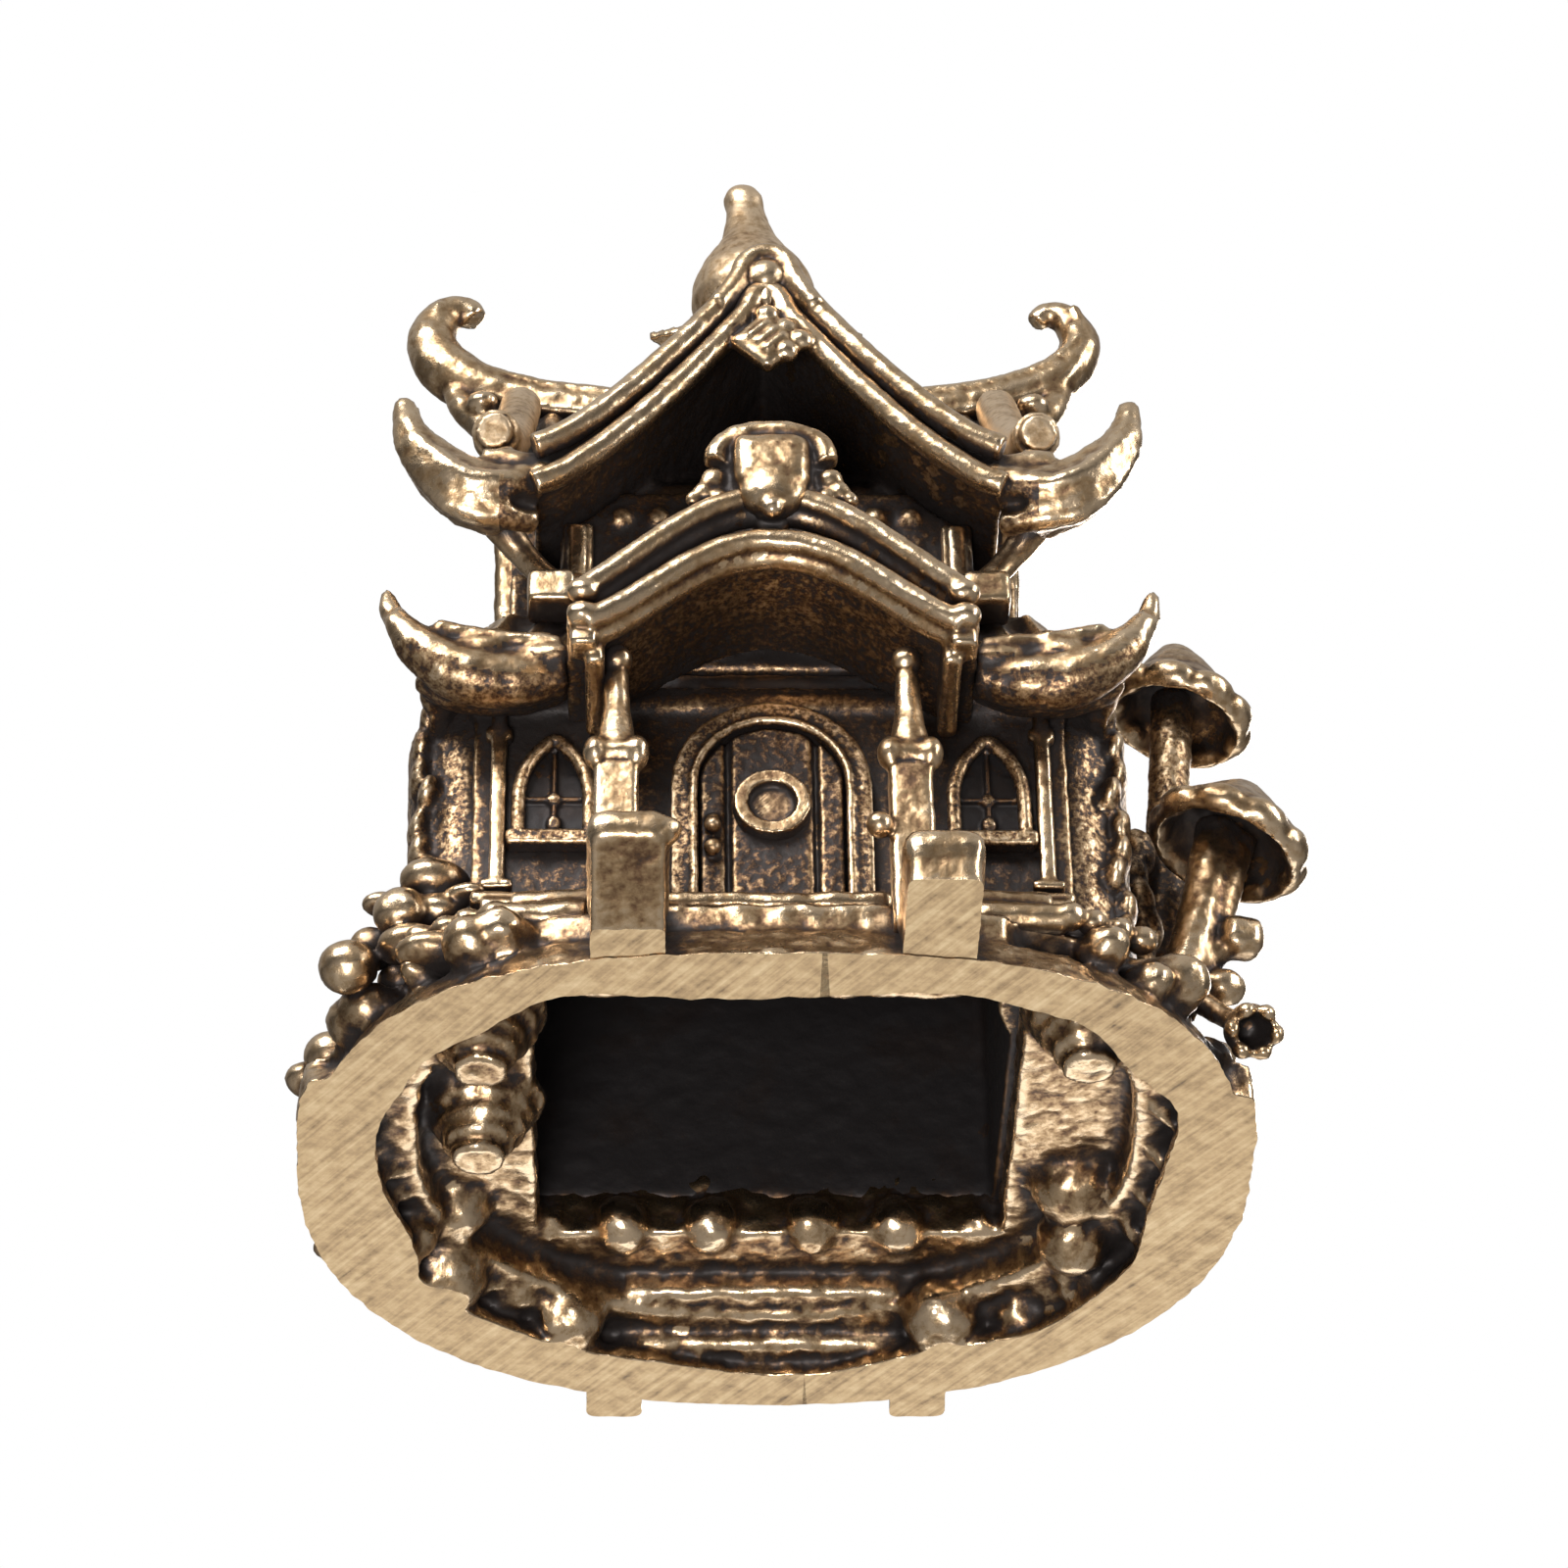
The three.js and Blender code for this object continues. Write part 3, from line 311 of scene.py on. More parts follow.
def antique_brass(name, rub, sand, shine=0.30, dark="#322c2a", shelter=8, grit=0.42):
    """Cast brass blackened in a liver-of-sulphur bath and rubbed bright on its high parts.

    rub is how far the rubbing reached, from 0 to 1, and on the shaded copy a low rub paints shade; sand how
    coarse the skin is, shelter how deep a hollow (mm) the cloth can't reach, and grit the size of the
    investment's grain (mm)."""
    material, tree = blank_material(name)
    place = node(tree, "TexCoord").outputs["Object"]
    # the black stays within about a millimetre of a neighbouring wall, and all through the hollow
    near = node(tree, "AmbientOcclusion", {"Distance": 1.3 * MM}, samples=6).outputs["AO"]
    far = node(tree, "AmbientOcclusion", {"Distance": shelter * MM}, samples=4).outputs["AO"]
    edge = node(tree, "NewGeometry").outputs["Pointiness"]
    # investment grain, dents of about 1 mm left by the wax tools, blotches of patina about 2 mm
    fine = node(tree, "TexNoise", {"Vector": place, "Scale": 1 / (grit * MM), "Detail": 3.0,
        "Roughness": 0.7})
    dents = node(tree, "TexNoise", {"Vector": place, "Scale": 1 / (1.1 * MM), "Detail": 2.0})
    broad = node(tree, "TexNoise", {"Vector": place, "Scale": 1 / (3.5 * MM), "Detail": 3.0})
    recess = node(tree, "MapRange", {"Value": near, "From Min": 0.42, "From Max": 0.97},
        interpolation_type="SMOOTHSTEP")
    hollow = node(tree, "MapRange", {"Value": far, "From Min": 0.08, "From Max": 0.50},
        interpolation_type="SMOOTHSTEP")
    open_part = node(tree, "Math", {0: recess, 1: hollow}, operation="MULTIPLY")
    high_part = node(tree, "MapRange",
        {"Value": edge, "From Min": 0.465, "From Max": 0.535, "To Min": -0.55, "To Max": 0.35})
    speck = node(tree, "MapRange",
        {"Value": fine, "From Min": 0.35, "From Max": 0.65, "To Min": -sand, "To Max": sand})
    patch = node(tree, "MapRange",
        {"Value": broad, "From Min": 0.3, "From Max": 0.7, "To Min": -0.22, "To Max": 0.14})
    worn = node(tree, "Math", {0: open_part, 1: rub}, operation="MULTIPLY")
    for part in (high_part, speck, patch):
        worn = node(tree, "Math", {0: worn, 1: part}, operation="ADD", use_clamp=True)
    colour = node(tree, "ValToRGB", {"Fac": worn},
        stops=[(0.0, dark), (0.22, "#3d332f"), (0.42, "#785c45"), (0.62, "#ae906c"), (0.80, "#ceb18c"),
        (1.0, "#e6ccaa")])
    gloss = node(tree, "MapRange", {"Value": worn, "To Min": 0.5, "To Max": shine})
    dented = node(tree, "Bump", {"Height": dents, "Distance": 0.16 * MM, "Strength": 0.6})
    relief = node(tree, "Bump", {"Height": fine, "Distance": 0.06 * MM, "Strength": 0.2 + sand,
        "Normal": dented})
    # the sulphide layer itself is matt and not metallic
    bare = node(tree, "MapRange", {"Value": worn, "From Max": 0.4, "To Min": 0.45})
    shader = node(tree, "BsdfPrincipled",
        {"Base Color": colour, "Metallic": bare, "Roughness": gloss, "Normal": relief})
    node(tree, "OutputMaterial", {"Surface": shader})
    return material


def sawn_brass(name):
    """The same brass where the sprue saw and a coarse belt cut it flat: pale, dull, lined one way."""
    material, tree = blank_material(name)
    place = node(tree, "TexCoord").outputs["Object"]
    # belt lines about 0.3 mm apart, running from the lower left to the upper right
    turned_place = node(tree, "Mapping",
        {"Vector": place, "Rotation": (0, 0, math.radians(-55)), "Scale": (1, 1 / 30, 1)},
        vector_type="TEXTURE")
    lines = node(tree, "TexNoise",
        {"Vector": turned_place, "Scale": 1 / (9 * MM), "Detail": 4.0, "Roughness": 0.6})
    grime = node(tree, "TexNoise",
        {"Vector": place, "Scale": 1 / (0.9 * MM), "Detail": 5.0, "Roughness": 0.7})
    mix = node(tree, "Math", {0: lines, 1: grime}, operation="ADD")
    share = node(tree, "MapRange", {"Value": mix, "From Min": 0.62, "From Max": 1.28})
    colour = node(tree, "ValToRGB", {"Fac": share},
        stops=[(0.0, "#5e4f43"), (0.3, "#a38a68"), (0.6, "#c0a57e"), (1.0, "#d6bf98")])
    relief = node(tree, "Bump", {"Height": lines, "Distance": 0.05 * MM, "Strength": 0.5})
    shader = node(tree, "BsdfPrincipled",
        {"Base Color": colour, "Metallic": 1.0, "Roughness": 0.42, "Normal": relief})
    node(tree, "OutputMaterial", {"Surface": shader})
    return material


# fully rubbed relief; posts standing clear; sandy walls in the open; walls under the eaves, a darker copy
# that paints their shade; the open hollow; places the cloth never reached; and the sawn rim
RUBBED = antique_brass("antique_brass_rubbed", rub=0.80, sand=0.14, shine=0.24)
PROUD = antique_brass("antique_brass_proud_parts", rub=0.80, sand=0.18, shine=0.26, shelter=3)
SANDY = antique_brass("antique_brass_sandy", rub=0.60, sand=0.42, shine=0.32, shelter=6, grit=0.26)
SHADED = antique_brass("antique_brass_shaded", rub=0.42, sand=0.28, shine=0.34, grit=0.26)
INSIDE = antique_brass("antique_brass_inside", rub=0.80, sand=0.20, shine=0.22, shelter=4)
BLACKENED = antique_brass("blackened_brass", rub=0.02, sand=0.06, shine=0.45, dark="#2e2a2a")
SAWN = sawn_brass("brass_belt_ground")

BASE_LOW, BASE_HIGH = span("base_shell")
BASE_CENTRE = Vector(((BASE_LOW.x + BASE_HIGH.x) / 2, (BASE_LOW.y + BASE_HIGH.y) / 2, 0))
HALF_X, HALF_Y = (BASE_HIGH.x - BASE_LOW.x) / 2, (BASE_HIGH.y - BASE_LOW.y) / 2


def on_oval(angle, inset, z):
    """A point on the base's oval, squarer in front than behind, this far in from the rim."""
    c, s = math.cos(angle), math.sin(angle)
    power = 2 / (2.8 if s < 0 else 2.2)
    return BASE_CENTRE + Vector(((HALF_X - inset) * math.copysign(abs(c) ** power, c),
        (HALF_Y - inset) * math.copysign(abs(s) ** power, s), z))


rock = bmesh.new()
cad_shape(rock, "base_shell", "lower_terrace", "upper_terrace")
# the rim runs on below the saw cut, so that the cut is crisp
for vert in rock.verts:
    if vert.co.z < 0.01:
        vert.co.z = -1.5
    elif vert.co.z < 2 and vert.co.y < -8:
        # in front the skirt slopes inwards above the rim
        if math.hypot((vert.co.x - BASE_CENTRE.x) / HALF_X, vert.co.y / HALF_Y) > 0.95:
            vert.co.y += 1.7
            vert.co.x *= 0.94
# rockwork outside: a raised bead along the skirt's shoulder and stones lapping over the ledges
BEAD_TURNS = 96
bead_turns = [math.tau * i / BEAD_TURNS for i in range(BEAD_TURNS + 1)]
roll(rock, [on_oval(a, 0.45 + 1.6 * min(1, max(0, -1.6 * math.sin(a))), 1.3) for a in bead_turns], 0.38)
for i in range(34):
    angle = math.tau * (i + 0.35 * math.sin(i * 2.4)) / 34
    if abs(math.cos(angle)) > 0.42 or math.sin(angle) > 0:
        size = 1.15 + 0.35 * math.sin(i * 4.1)
        lump(rock, on_oval(angle, 1.75, 2.1 + 0.3 * math.sin(i * 3.3)),
            (size * 1.2, size * 0.85, size * 0.8), spin=angle)
for i in range(30):
    angle = math.tau * (i + 0.4 * math.sin(i * 1.9)) / 30
    if abs(math.cos(angle)) > 0.40 or math.sin(angle) > 0:
        size = 1.0 + 0.3 * math.sin(i * 5.2)
        lump(rock, on_oval(angle, 3.1, 3.6 + 0.3 * math.sin(i * 2.7)),
            (size * 1.15, size * 0.9, size * 0.8), spin=angle)
# inside: the rim's wavy inner edge, overlapping scales of wax left and right, and ringed cones
edge_turns = [math.tau * i / 72 for i in range(73)]
roll(rock, [on_oval(a, 2.35 - 0.5 * max(0, math.sin(a)) + 0.28 * math.sin(7 * a)
    + 0.2 * math.sin(11 * a + 1), 0.1) for a in edge_turns], 0.95)
for i in range(34):
    angle = math.tau * (i + 0.3 * math.sin(i * 2.9)) / 34
    if abs(math.cos(angle)) > 0.6:
        for step in range(3):
            lump(rock, on_oval(angle + 0.05 * step, 3.1 + 0.25 * step, 1.5 + 0.85 * step),
                (1.3, 0.38, 0.62), spin=angle + 0.8, tilt=0.35)
CONES = [(-10.6, -7.1), (11.5, -7.4), (-10.8, -1.1)]
for x, y in CONES:
    turned(rock, (x, y, 0.4), [(0, 0), (0.7, 0.1), (1.6, 1.3), (2.3, 2.8), (0, 3.0)])
    for step in range(5):
        reach = 0.8 + 0.36 * step
        groove = [Vector((x + reach * math.cos(a), y + reach * math.sin(a), 0.7 + 0.62 * step))
            for a in edge_turns[::4]]
        roll(rock, groove, 0.27)
LUMPS = [(-12.5, 8.4, 1.5, 1.9), (-7.6, 11.8, 1.5, 1.55), (7.1, 11.8, 1.5, 1.6), (10.1, 11.35, 1.25, 0.9),
    (11.8, 4.3, 3.0, 1.7), (11.9, 6.5, 1.7, 1.45), (-13.6, 5.2, 1.2, 1.1), (13.4, 9.0, 1.2, 1.3),
    (-9.9, 10.6, 2.6, 1.75), (9.4, 11.9, 2.6, 1.6), (11.6, 10.4, 2.3, 1.4), (-12.0, 6.0, 3.0, 1.5)]
for x, y, z, size in LUMPS:
    lump(rock, (x, y, z), (size, size, size))
BEADS = [(-8.34, 0.75), (-5.48, 1.15), (-2.04, 1.15), (1.90, 1.15), (5.23, 1.15), (8.42, 0.75)]
for x, size in BEADS:
    lump(rock, (x, 8.6, 3.62), (size, size, size))
    roll(rock, [(x, 9.3, 4.0), (x, 9.6, 6.2)], size * 0.75)
slab(rock, (-9.4, 8.3, 4.2), (9.4, 10.1, 6.0), ease=0.3)
slab(rock, (-5.4, 11.0, 1.9), (5.4, 13.2, 3.2), ease=0.35)
slab(rock, (-5.6, 13.0, 0.7), (5.6, 15.0, 1.9), ease=0.35)
# the thin bar under the front door
slab(rock, (-4.3, -12.8, 3.95), (4.3, -10.2, 4.75), ease=0.25)
base_mesh = cast(rock, voxel=0.18, soften=4, grain=0.26, grain_size=0.9)


def sawn_off(mesh, level=0.0):
    """Cuts a casting flat at this height and closes it with a face for the second material."""
    cut = bmesh.new()
    cut.from_mesh(mesh)
    bmesh.ops.bisect_plane(cut, geom=cut.verts[:] + cut.edges[:] + cut.faces[:], plane_co=(0, 0, level),
        plane_no=(0, 0, -1), clear_outer=True)
    border = [edge for edge in cut.edges if edge.is_boundary]
    sawn = bmesh.ops.triangle_fill(cut, edges=border, use_beauty=True, normal=(0, 0, -1))
    for face in sawn["geom"]:
        if isinstance(face, bmesh.types.BMFace):
            face.material_index = 1
            if face.normal.z > 0:
                face.normal_flip()
    cut.to_mesh(mesh)
    cut.free()
    return mesh


def sawn_face_flat(piece):
    """The sawn face isn't smoothed into the skin around it."""
    for polygon in piece.data.polygons:
        if polygon.material_index == 1:
            polygon.use_smooth = False


rock_base = finished("rock_base", sawn_off(base_mesh), ("base_shell", "lower_terrace", "upper_terrace"),
    INSIDE, SAWN, slot="darkened_brass")
sawn_face_flat(rock_base)

# ---- Stair posts and rear feet ----
# Square newel posts with rounded tops beside the front step, and two low feet behind. They are
# part of the base's casting: solid brass, rubbed bright, and cut off by the same saw.
ABOVE_CUT = 0.04
for name in ("newel_left", "newel_right"):
    low, high = span(name)
    post = bmesh.new()
    slab(post, (low.x - 0.1, low.y + 0.15, -1.5), (high.x, high.y, high.z - 0.3), ease=0.4)
    slab(post, (low.x - 0.25, low.y, high.z - 1.5), (high.x + 0.15, high.y, high.z), ease=0.6)
    if name == "newel_left":
        # the left post's front runs back to the rim, the right one is sawn off with it
        lump(post, (high.x - 0.1, low.y + 0.7, high.z - 0.75), (0.75, 0.6, 0.5), tilt=-0.4)
        bmesh.ops.bisect_plane(post, geom=post.verts[:] + post.edges[:] + post.faces[:],
            plane_co=(0, low.y, 1.9), plane_no=(0, -2.0, -3.5), clear_outer=True)
        bmesh.ops.holes_fill(post, edges=[edge for edge in post.edges if edge.is_boundary])
    newel = finished(name.replace("newel", "stair_post"),
        sawn_off(cast(post, voxel=0.12, soften=8, grain=0.1), ABOVE_CUT), (name,), RUBBED, SAWN)
    sawn_face_flat(newel)
for name in ("rear_foot_left", "rear_foot_right"):
    low, high = span(name)
    foot = bmesh.new()
    slab(foot, (low.x, low.y - 0.6, -1.5), (high.x, high.y, high.z), ease=0.35)
    lump(foot, ((low.x + high.x) / 2, high.y - 0.7, high.z - 0.3), (1.0, 0.7, 0.6))
    rear_foot = finished(name + "_casting",
        sawn_off(cast(foot, voxel=0.12, soften=6, grain=0.1), ABOVE_CUT), (name,), RUBBED, SAWN)
    sawn_face_flat(rear_foot)

# ---- Stones around the terrace ----
# Round boulders, little heaps of pebbles, dressed blocks and logs, modelled one by one in the
# wax and cast with the base. Every top is rubbed bright and the gaps between stay black.
STONES = {
    "boulder_left_front": [(-15.3, -10.4, 2.9, 1.1), (-12.3, -9.5, 7.2, 1.15), (-14.0, -8.9, 6.6, 0.75),
                           (-13.5, -10.2, 5.4, 1.05), (-13.2, -10.7, 3.7, 0.95), (-11.9, -11.7, 2.6, 1.2),
                           (-14.6, -8.6, 4.9, 0.9), (-12.2, -9.9, 5.6, 0.9), (-11.2, -10.4, 6.1, 0.6),
                           (-14.9, -9.3, 3.9, 0.7)],
    "boulder_left": [(-16.2, -4.6, 2.9, 1.0), (-16.9, -3.3, 2.6, 0.9), (-15.2, -2.2, 3.6, 1.0),
                     (-14.6, -3.9, 4.9, 0.8), (-16.7, 2.6, 1.2, 0.8), (-16.2, 6.4, 1.2, 0.8)],
    "boulder_rear_left": [(-10.6, 12.4, 2.7, 1.15), (-12.4, 10.9, 2.6, 0.95), (-9.3, 13.0, 2.2, 0.8),
                          (-11.5, 11.3, 4.0, 0.8)],
    "boulder_right_rear": [(15.9, 6.2, 2.5, 1.1), (15.0, 8.2, 2.2, 0.9), (16.2, 4.4, 2.0, 0.8),
                           (14.6, 7.0, 3.9, 0.8)],
}
for name, heap in STONES.items():
    pile = bmesh.new()
    for i, (x, y, z, size) in enumerate(heap):
        lump(pile, (x, y, z), (size * (1.0 + 0.22 * (i % 3)), size * 0.94, size * (0.92 - 0.16 * (i % 3))),
            spin=0.5 * math.sin(i * 1.3))
    finished(name.replace("boulder", "stones"), cast(pile, voxel=0.13, grain=0.1), (name,), RUBBED)
for side, name in ((-1, "dressed_stone_left"), (1, "dressed_stone_right")):
    low, high = span(name)
    blocks = bmesh.new()
    near, far = (high.x, low.x) if side < 0 else (low.x, high.x)
    roll(blocks, [(near, low.y + 0.5, high.z - 0.3), (far - side * 0.4, low.y + 1.0, high.z - 0.1)], 0.72)
    roll(blocks, [(near + side * 0.3, low.y + 0.1, low.z + 0.35), (far, low.y + 0.2, low.z + 0.3)], 0.6)
    slab(blocks, (min(near, far) + 0.5, low.y + 0.5, low.z),
        (max(near, far) - 0.4, high.y + 0.4, high.z + 0.6), ease=0.35)
    for i in range(4):
        lump(blocks, (far + side * (0.2 + 0.9 * i), low.y + 0.1 + 0.5 * i, low.z + 0.4), (0.62, 0.55, 0.55),
            spin=i)
    finished(name.replace("dressed_stone", "stone_blocks"), cast(blocks, voxel=0.13, soften=4, grain=0.1),
        (name,), RUBBED)

# ---- Ground storey ----
# Four plain walls on the terrace with a low plinth and a band under the eaves, corner pilasters,
# window sills, and a round bay on each side. Cast in one with the base; sandy, dark in the corners.
WALL_LOW, WALL_HIGH = span("lower_wall")
FLOOR_Z, WALL_TOP = WALL_LOW.z, WALL_HIGH.z
FACE = WALL_LOW.y
walls = bmesh.new()
cad_shape(walls, "lower_wall")
for z, thick in ((FLOOR_Z + 0.5, 0.45), (WALL_TOP - 0.9, 0.4)):
    for sign in (-1, 1):
        slab(walls, (WALL_LOW.x - 0.25, sign * WALL_HIGH.y - 0.25, z - thick),
            (WALL_HIGH.x + 0.25, sign * WALL_HIGH.y + 0.25, z + thick))
        slab(walls, (sign * WALL_HIGH.x - 0.25, WALL_LOW.y, z - thick),
            (sign * WALL_HIGH.x + 0.25, WALL_HIGH.y, z + thick))
# painted shade: the outer walls take the darker shaded brass under the skirt roof
ground_walls = finished("ground_walls", cast(walls, voxel=0.2, soften=4, grain=0.12), ("lower_wall",),
    SHADED, BLACKENED, slot="darkened_brass")
# the shaft inside was never rubbed
for polygon in ground_walls.data.polygons:
    at = polygon.center / MM - TOWER
    if abs(at.x) < WALL_HIGH.x - 0.5 and abs(at.y) < WALL_HIGH.y - 0.5:
        polygon.material_index = 1
ceiling = bmesh.new()
cad_shape(ceiling, "storey_floor")
swings = [math.tau * i / 20 for i in range(21)]
roll(ceiling, [(-0.4 + 2.0 * math.cos(a), 2.0 * math.sin(a), span("storey_floor")[0].z) for a in swings],
    0.3)
finished("storey_plate", cast(ceiling, voxel=0.2, grain=0.15), ("storey_floor",), BLACKENED,
    slot="darkened_brass")
for side, word in ((-1, "left"), (1, "right")):
    low, high = span("sill_" + word)
    sill = bmesh.new()
    slab(sill, (low.x, low.y, low.z - 0.1), (high.x, high.y, high.z - 0.25), ease=0.18)
    slab(sill, (low.x + 0.4, low.y - 0.2, low.z - 0.7), (high.x - 0.2, high.y, low.z), ease=0.15)
    finished("window_ledge_" + word, cast(sill, voxel=0.1), ("sill_" + word,), RUBBED)
    low, high = span("pilaster_" + word)
    pilaster = bmesh.new()
    middle = (low.x + high.x) / 2 - side * 0.15
    slab(pilaster, (middle - 0.3, low.y - 0.1, low.z), (middle + 0.3, high.y, high.z), ease=0.12)
    slab(pilaster, (middle - 0.6, low.y - 0.15, low.z), (middle + 0.6, high.y, low.z + 0.4), ease=0.12)
    slab(pilaster, (middle - 0.5, low.y - 0.1, high.z - 3.6), (middle + 0.5, high.y, high.z - 3.1),
        ease=0.1)
    finished("wall_strip_" + word, cast(pilaster, voxel=0.1, grain=0.06), ("pilaster_" + word,), RUBBED)
    low, high = span("side_bay_" + word)
    bay = bmesh.new()
    cad_shape(bay, "side_bay_" + word)
    centre = Vector((low.x if side > 0 else high.x, low.y + 0.75, 0))
    round_wall = bmesh.new()
    turned(round_wall, (0, 0, 0), [(0, low.z), (2.6, low.z), (2.5, low.z + 5), (2.6, WALL_TOP - 0.2),
        (0, WALL_TOP)])
    moved(round_wall, Matrix.Translation(centre) @ Matrix.Diagonal((1, 1.5, 1, 1)))
    add(bay, round_wall)
    # fish-scale edge down the outside
    for k in range(9):
        swing = -0.75 + 0.12 * math.sin(k * 2.2)
        edge = Vector((side * 2.55 * math.cos(swing), 3.85 * math.sin(swing), low.z + 1.0 + k * 1.2))
        lump(bay, centre + edge, (0.42, 1.15, 0.85), tilt=0.2)
    finished("round_bay_" + word, cast(bay, voxel=0.15, soften=4, grain=0.1), ("side_bay_" + word,), SANDY,
        slot="darkened_brass")


# ---- Doors ----
# An arched plank door on the front and the back: a flat sandy surround, a bright bead, three
# planks, two studs and a ring window. All relief on the walls' casting.
def arch(half, springing, y, foot, count=14):
    """Points up one side of a round arch, over its top and down again."""
    bend = [math.pi * i / count for i in range(count + 1)]
    return ([Vector((half, y, foot))] + [Vector((half, y, foot + springing * k / 3)) for k in (1, 2)]
        + [Vector((half * math.cos(a), y, foot + springing + half * math.sin(a))) for a in bend]
        + [Vector((-half, y, foot + springing * k / 3)) for k in (2, 1)] + [Vector((-half, y, foot))])


def facing(bm, rear):
    """Turns a shape made for the front round to the back."""
    if rear:
        moved(bm, Matrix.Rotation(math.pi, 4, "Z"))


DOOR_HALF, SPRINGING = 2.75, 5.9
DOOR_FRONT = FACE - 1.05
RING_AT = Vector((0, DOOR_FRONT, FLOOR_Z + 4.9))
for end in ("front", "rear"):
    surround = bmesh.new()
    cad_shape(surround, "front_door_frame")
    roll(surround, arch(DOOR_HALF + 0.12, SPRINGING, DOOR_FRONT, FLOOR_Z), 0.17)
    facing(surround, end == "rear")
    finished(end + "_door_surround", cast(surround, voxel=0.09), (end + "_door_frame",), SANDY)
    leaf = bmesh.new()
    cad_shape(leaf, "front_door")
    # the planks are the door cut into upright strips, each standing a little proud
    for left, right in ((-2.62, -1.72), (-1.5, 1.5), (1.72, 2.62)):
        plank = bmesh.new()
        cad_shape(plank, "front_door")
        for x, outwards in ((left, -1), (right, 1)):
            bmesh.ops.bisect_plane(plank, geom=plank.verts[:] + plank.edges[:] + plank.faces[:],
                plane_co=(x, 0, 0), plane_no=(outwards, 0, 0), clear_outer=True)
            bmesh.ops.holes_fill(plank, edges=[edge for edge in plank.edges if edge.is_boundary])
        moved(plank, Matrix.Translation((0, -0.32, -0.05)))
        add(leaf, plank)
    for z in (2.9, 3.9):
        lump(leaf, (-2.2, DOOR_FRONT - 0.15, FLOOR_Z + z), (0.33, 0.33, 0.33))
    facing(leaf, end == "rear")
    # painted shade: the planks take the darker shaded brass
    finished(end + "_door_planks", cast(leaf, voxel=0.09, soften=2, grain=0.08, grain_size=0.4),
        (end + "_door",), SHADED, slot="darkened_brass")
    ring = bmesh.new()
    turned(ring, (0, 0, 0), [(0, -0.05), (0.86, -0.05), (0.9, 0.3), (1.42, 0.3), (1.46, -0.3), (0, -0.3)])
    moved(ring, Matrix.Translation(RING_AT) @ Matrix.Rotation(math.radians(90), 4, "X"))
    facing(ring, end == "rear")
    finished(end + "_door_ring", cast(ring, voxel=0.08, soften=2), (end + "_door_window",), RUBBED)

# ---- Windows ----
# A pointed light each side of the front door with a bright moulded frame and a crossed lattice,
# standing proud of the wall it is cast with.
WINDOW_HALF = 1.3
for word in ("left", "right"):
    low, high = span("window_" + word)
    x = (low.x + high.x) / 2
    front = low.y + 0.1
    tall = high.z - low.z
    outline = [(1, 0.04), (1, 0.28), (0.98, 0.5), (0.72, 0.76), (0.34, 0.92), (0, 1.0)]
    right_side = [Vector((x + WINDOW_HALF * u, front - 0.05, low.z + tall * v)) for u, v in outline]
    left_side = [Vector((2 * x - p.x, p.y, p.z)) for p in reversed(right_side[:-1])]
    window = bmesh.new()
    roll(window, right_side + left_side, 0.27)
    slab(window, (x - 1.75, front - 0.3, low.z - 0.35), (x + 1.75, front + 0.5, low.z + 0.3), ease=0.15)
    back = front + 0.22
    roll(window, [(x, back, low.z), (x, back, high.z - 0.2)], 0.1)
    roll(window, [(x - 1.2, back, low.z + 1.9), (x + 1.2, back, low.z + 1.9)], 0.1)
    lump(window, (x, back, low.z + 1.9), (0.3, 0.14, 0.3))
    lump(window, (x, back, low.z + 0.8), (0.28, 0.14, 0.4))
    slab(window, (x - 1.25, front + 0.36, low.z), (x + 1.25, front + 0.6, high.z - 1.3), ease=0)
    lump(window, (x, front + 0.48, high.z - 1.6), (1.05, 0.12, 1.5))
    pane = finished("window_frame_" + word, cast(window, voxel=0.07, soften=2, grain=0.04),
        ("window_" + word,), SANDY, BLACKENED)
    for polygon in pane.data.polygons:
        at = polygon.center / MM - TOWER
        if at.y > front + 0.12 and abs(at.x - x) < 1.25 and at.z > low.z + 0.2:
            polygon.material_index = 1

# ---- Porch columns ----
# Square shafts on the terrace with a dumb-bell capital, a tapered neck and a ball under the
# porch rakes. Cast solid; the balls and the capitals' ends are rubbed bright.
for side, word in ((-1, "left"), (1, "right")):
    low, high = span("column_" + word)
    x, y, capital, slim = (low.x + high.x) / 2 - 0.4, -14.4, 8.6, 0.7
    column = bmesh.new()
    slab(column, (x - slim - 0.1, y - slim, 1.6), (x + slim + 0.1, y + slim, capital + 0.2), ease=0.18)
    roll(column, [(x - 0.6, y - 0.4, capital + 0.65), (x + 0.6, y - 0.4, capital + 0.65)], 0.52)
    for sign in (-1, 1):
        lump(column, (x + sign * 0.75, y - 0.45, capital + 0.65), (0.45, 0.58, 0.66))
    turned(column, (x, y - 0.1, 0),
        [(0, capital), (0.75, capital + 1.0), (0.68, capital + 1.6), (0.5, capital + 2.8),
        (0.44, capital + 4.4), (0, capital + 4.6)])
    lump(column, (x, y - 0.25, capital + 5.0), (0.58, 0.56, 0.58))
    if side > 0:
        lump(column, (x - 1.2, y - 0.7, low.z + 2.9), (0.5, 0.5, 0.5))
    finished("porch_column_" + word, cast(column, voxel=0.1, grain=0.07), ("column_" + word,), PROUD)


# ---- Porch roof ----
# An ogee vault between the columns and the wall: a sandy barrel, two bright rolls along its
# front edge with a black groove between, end blocks, a crest and a shield boss on top.
PORCH_LOW, PORCH_HIGH = span("porch_roof")
PORCH_HALF = PORCH_HIGH.x
PORCH_THICK, PORCH_RISE = 1.1, 3.4


def porch_top(x):
    """Height of the vault's top at x."""
    share = min(1, abs(x) / PORCH_HALF)
    return PORCH_LOW.z + PORCH_THICK + PORCH_RISE * (0.5 + 0.5 * math.cos(math.pi * share ** 1.1))


